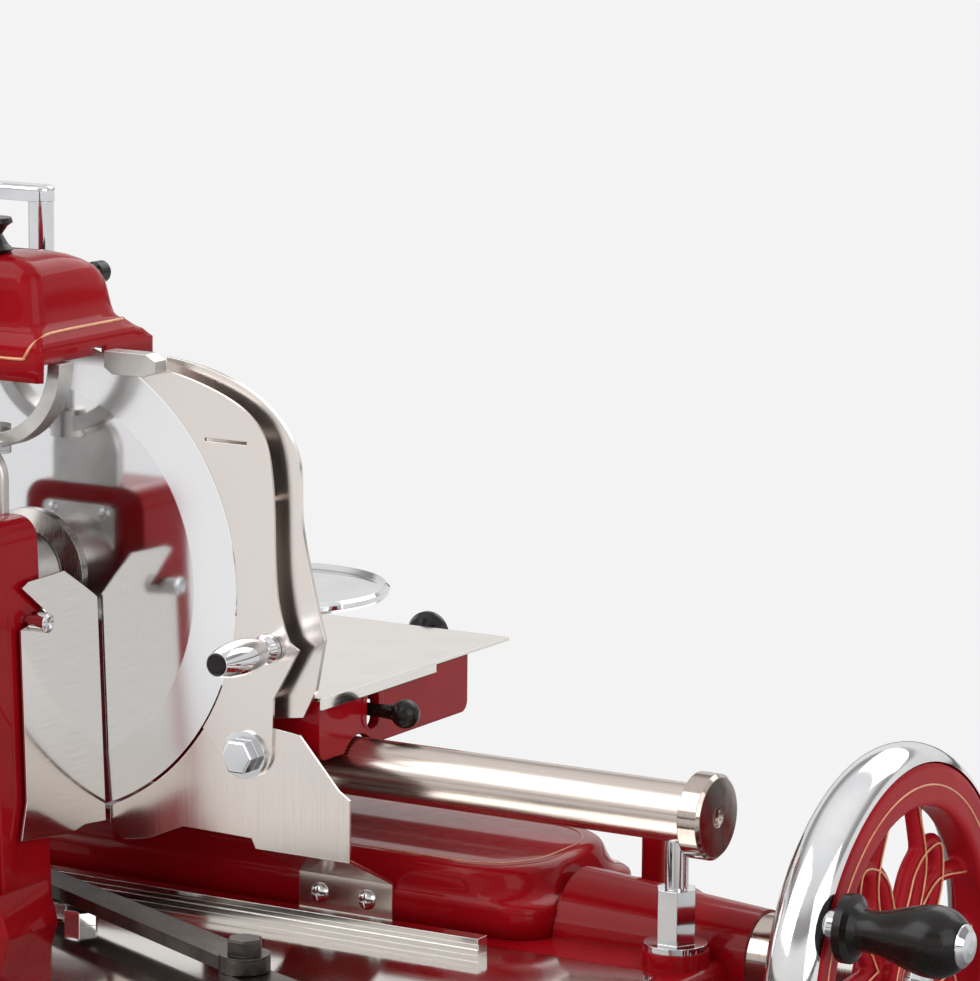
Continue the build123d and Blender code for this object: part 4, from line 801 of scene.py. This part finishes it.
# Height of the way a reflection looks, from straight down to straight up, and the tone it sees there.
SURROUNDINGS = ((0.03, "#4A4644"), (0.07, "#ECEAE8"), (0.36, "#F4F3F2"), (0.46, "#9A9795"),
                (0.58, "#A8A5A3"), (0.72, "#EDEDED"))


def studio():
    """White surroundings: plain light on the object, a pale background, and reflections with a dark
    horizon."""
    world = bpy.data.worlds.new("studio")
    bpy.context.scene.world = world
    world.use_nodes = True
    tree = world.node_tree
    tree.nodes.clear()
    path = add(tree, "ShaderNodeLightPath")
    spot = add(tree, "ShaderNodeTexCoord")
    way = add(tree, "ShaderNodeSeparateXYZ", links={"Vector": spot.outputs["Generated"]})
    ramp = add(tree, "ShaderNodeValToRGB", links={"Fac": way.outputs["Z"]})
    ramp.color_ramp.elements[0].position = 0.0
    ramp.color_ramp.elements[0].color = hue("#6E6A68")
    ramp.color_ramp.elements[1].position = 1.0
    ramp.color_ramp.elements[1].color = hue("#FFFFFF")
    for place, code in SURROUNDINGS:
        ramp.color_ramp.elements.new(place).color = hue(code)
    shiny = add(tree, "ShaderNodeBackground", {"Strength": 1.0}, {"Color": ramp.outputs["Color"]})
    plain = add(tree, "ShaderNodeBackground", {"Color": hue("#FFFFFF"), "Strength": 0.62})
    seen = add(tree, "ShaderNodeBackground", {"Color": hue("#F3F3F3"), "Strength": 1.0})
    others = add(tree, "ShaderNodeMixShader", links={
        "Fac": path.outputs["Is Glossy Ray"], 1: plain.outputs[0], 2: shiny.outputs[0]})
    whole = add(tree, "ShaderNodeMixShader", links={
        "Fac": path.outputs["Is Camera Ray"], 1: others.outputs[0], 2: seen.outputs[0]})
    add(tree, "ShaderNodeOutputWorld", links={"Surface": whole.outputs[0]})


def softbox(name, place, aim, width, height, power):
    """Large soft lamp aimed at a point."""
    lamp = bpy.data.lights.new(name, "AREA")
    lamp.shape = "RECTANGLE"
    lamp.size = width
    lamp.size_y = height
    lamp.energy = power
    made = bpy.data.objects.new(name, lamp)
    bpy.context.scene.collection.objects.link(made)
    made.location = place
    made.rotation_euler = (Vector(aim) - Vector(place)).to_track_quat("-Z", "Y").to_euler()


# The photograph's camera, in metres, degrees and millimetres.
CAMERA_PLACE = (1.4964, -2.3158, 0.9097)
CAMERA_TURN = 30.45
CAMERA_DOWN = 9.72
CAMERA_ROLL = 0.48
CAMERA_LENS = 173.77
CAMERA_SENSOR = 36.0


def photo_camera():
    """Camera where the photograph was taken from."""
    turn, down, roll = radians(CAMERA_TURN), radians(CAMERA_DOWN), radians(CAMERA_ROLL)
    across = Vector((-sin(turn), cos(turn), 0))
    right = Vector((cos(turn), sin(turn), 0))
    ahead = across * cos(down) - Vector((0, 0, 1)) * sin(down)
    up = Vector((0, 0, 1)) * cos(down) + across * sin(down)
    side = right * cos(roll) + up * sin(roll)
    top = up * cos(roll) - right * sin(roll)
    lens = bpy.data.cameras.new("photo_camera")
    lens.lens = CAMERA_LENS
    lens.sensor_width = CAMERA_SENSOR
    camera = bpy.data.objects.new("photo_camera", lens)
    bpy.context.scene.collection.objects.link(camera)
    place = Matrix((side, top, -ahead)).transposed().to_4x4()
    place.translation = Vector(CAMERA_PLACE)
    camera.matrix_world = place
    bpy.context.scene.camera = camera


pale_floor()
studio()
softbox("key_light", (-1.6, -2.2, 2.6), (0, 0, 0.25), 2.8, 2.8, 60)
softbox("fill_light", (2.6, -1.0, 1.4), (0.1, 0, 0.25), 2.2, 2.2, 24)
softbox("back_light", (0.4, 2.4, 2.4), (0, 0, 0.3), 3.0, 1.6, 30)
photo_camera()
bpy.context.scene.view_settings.view_transform = "Standard"
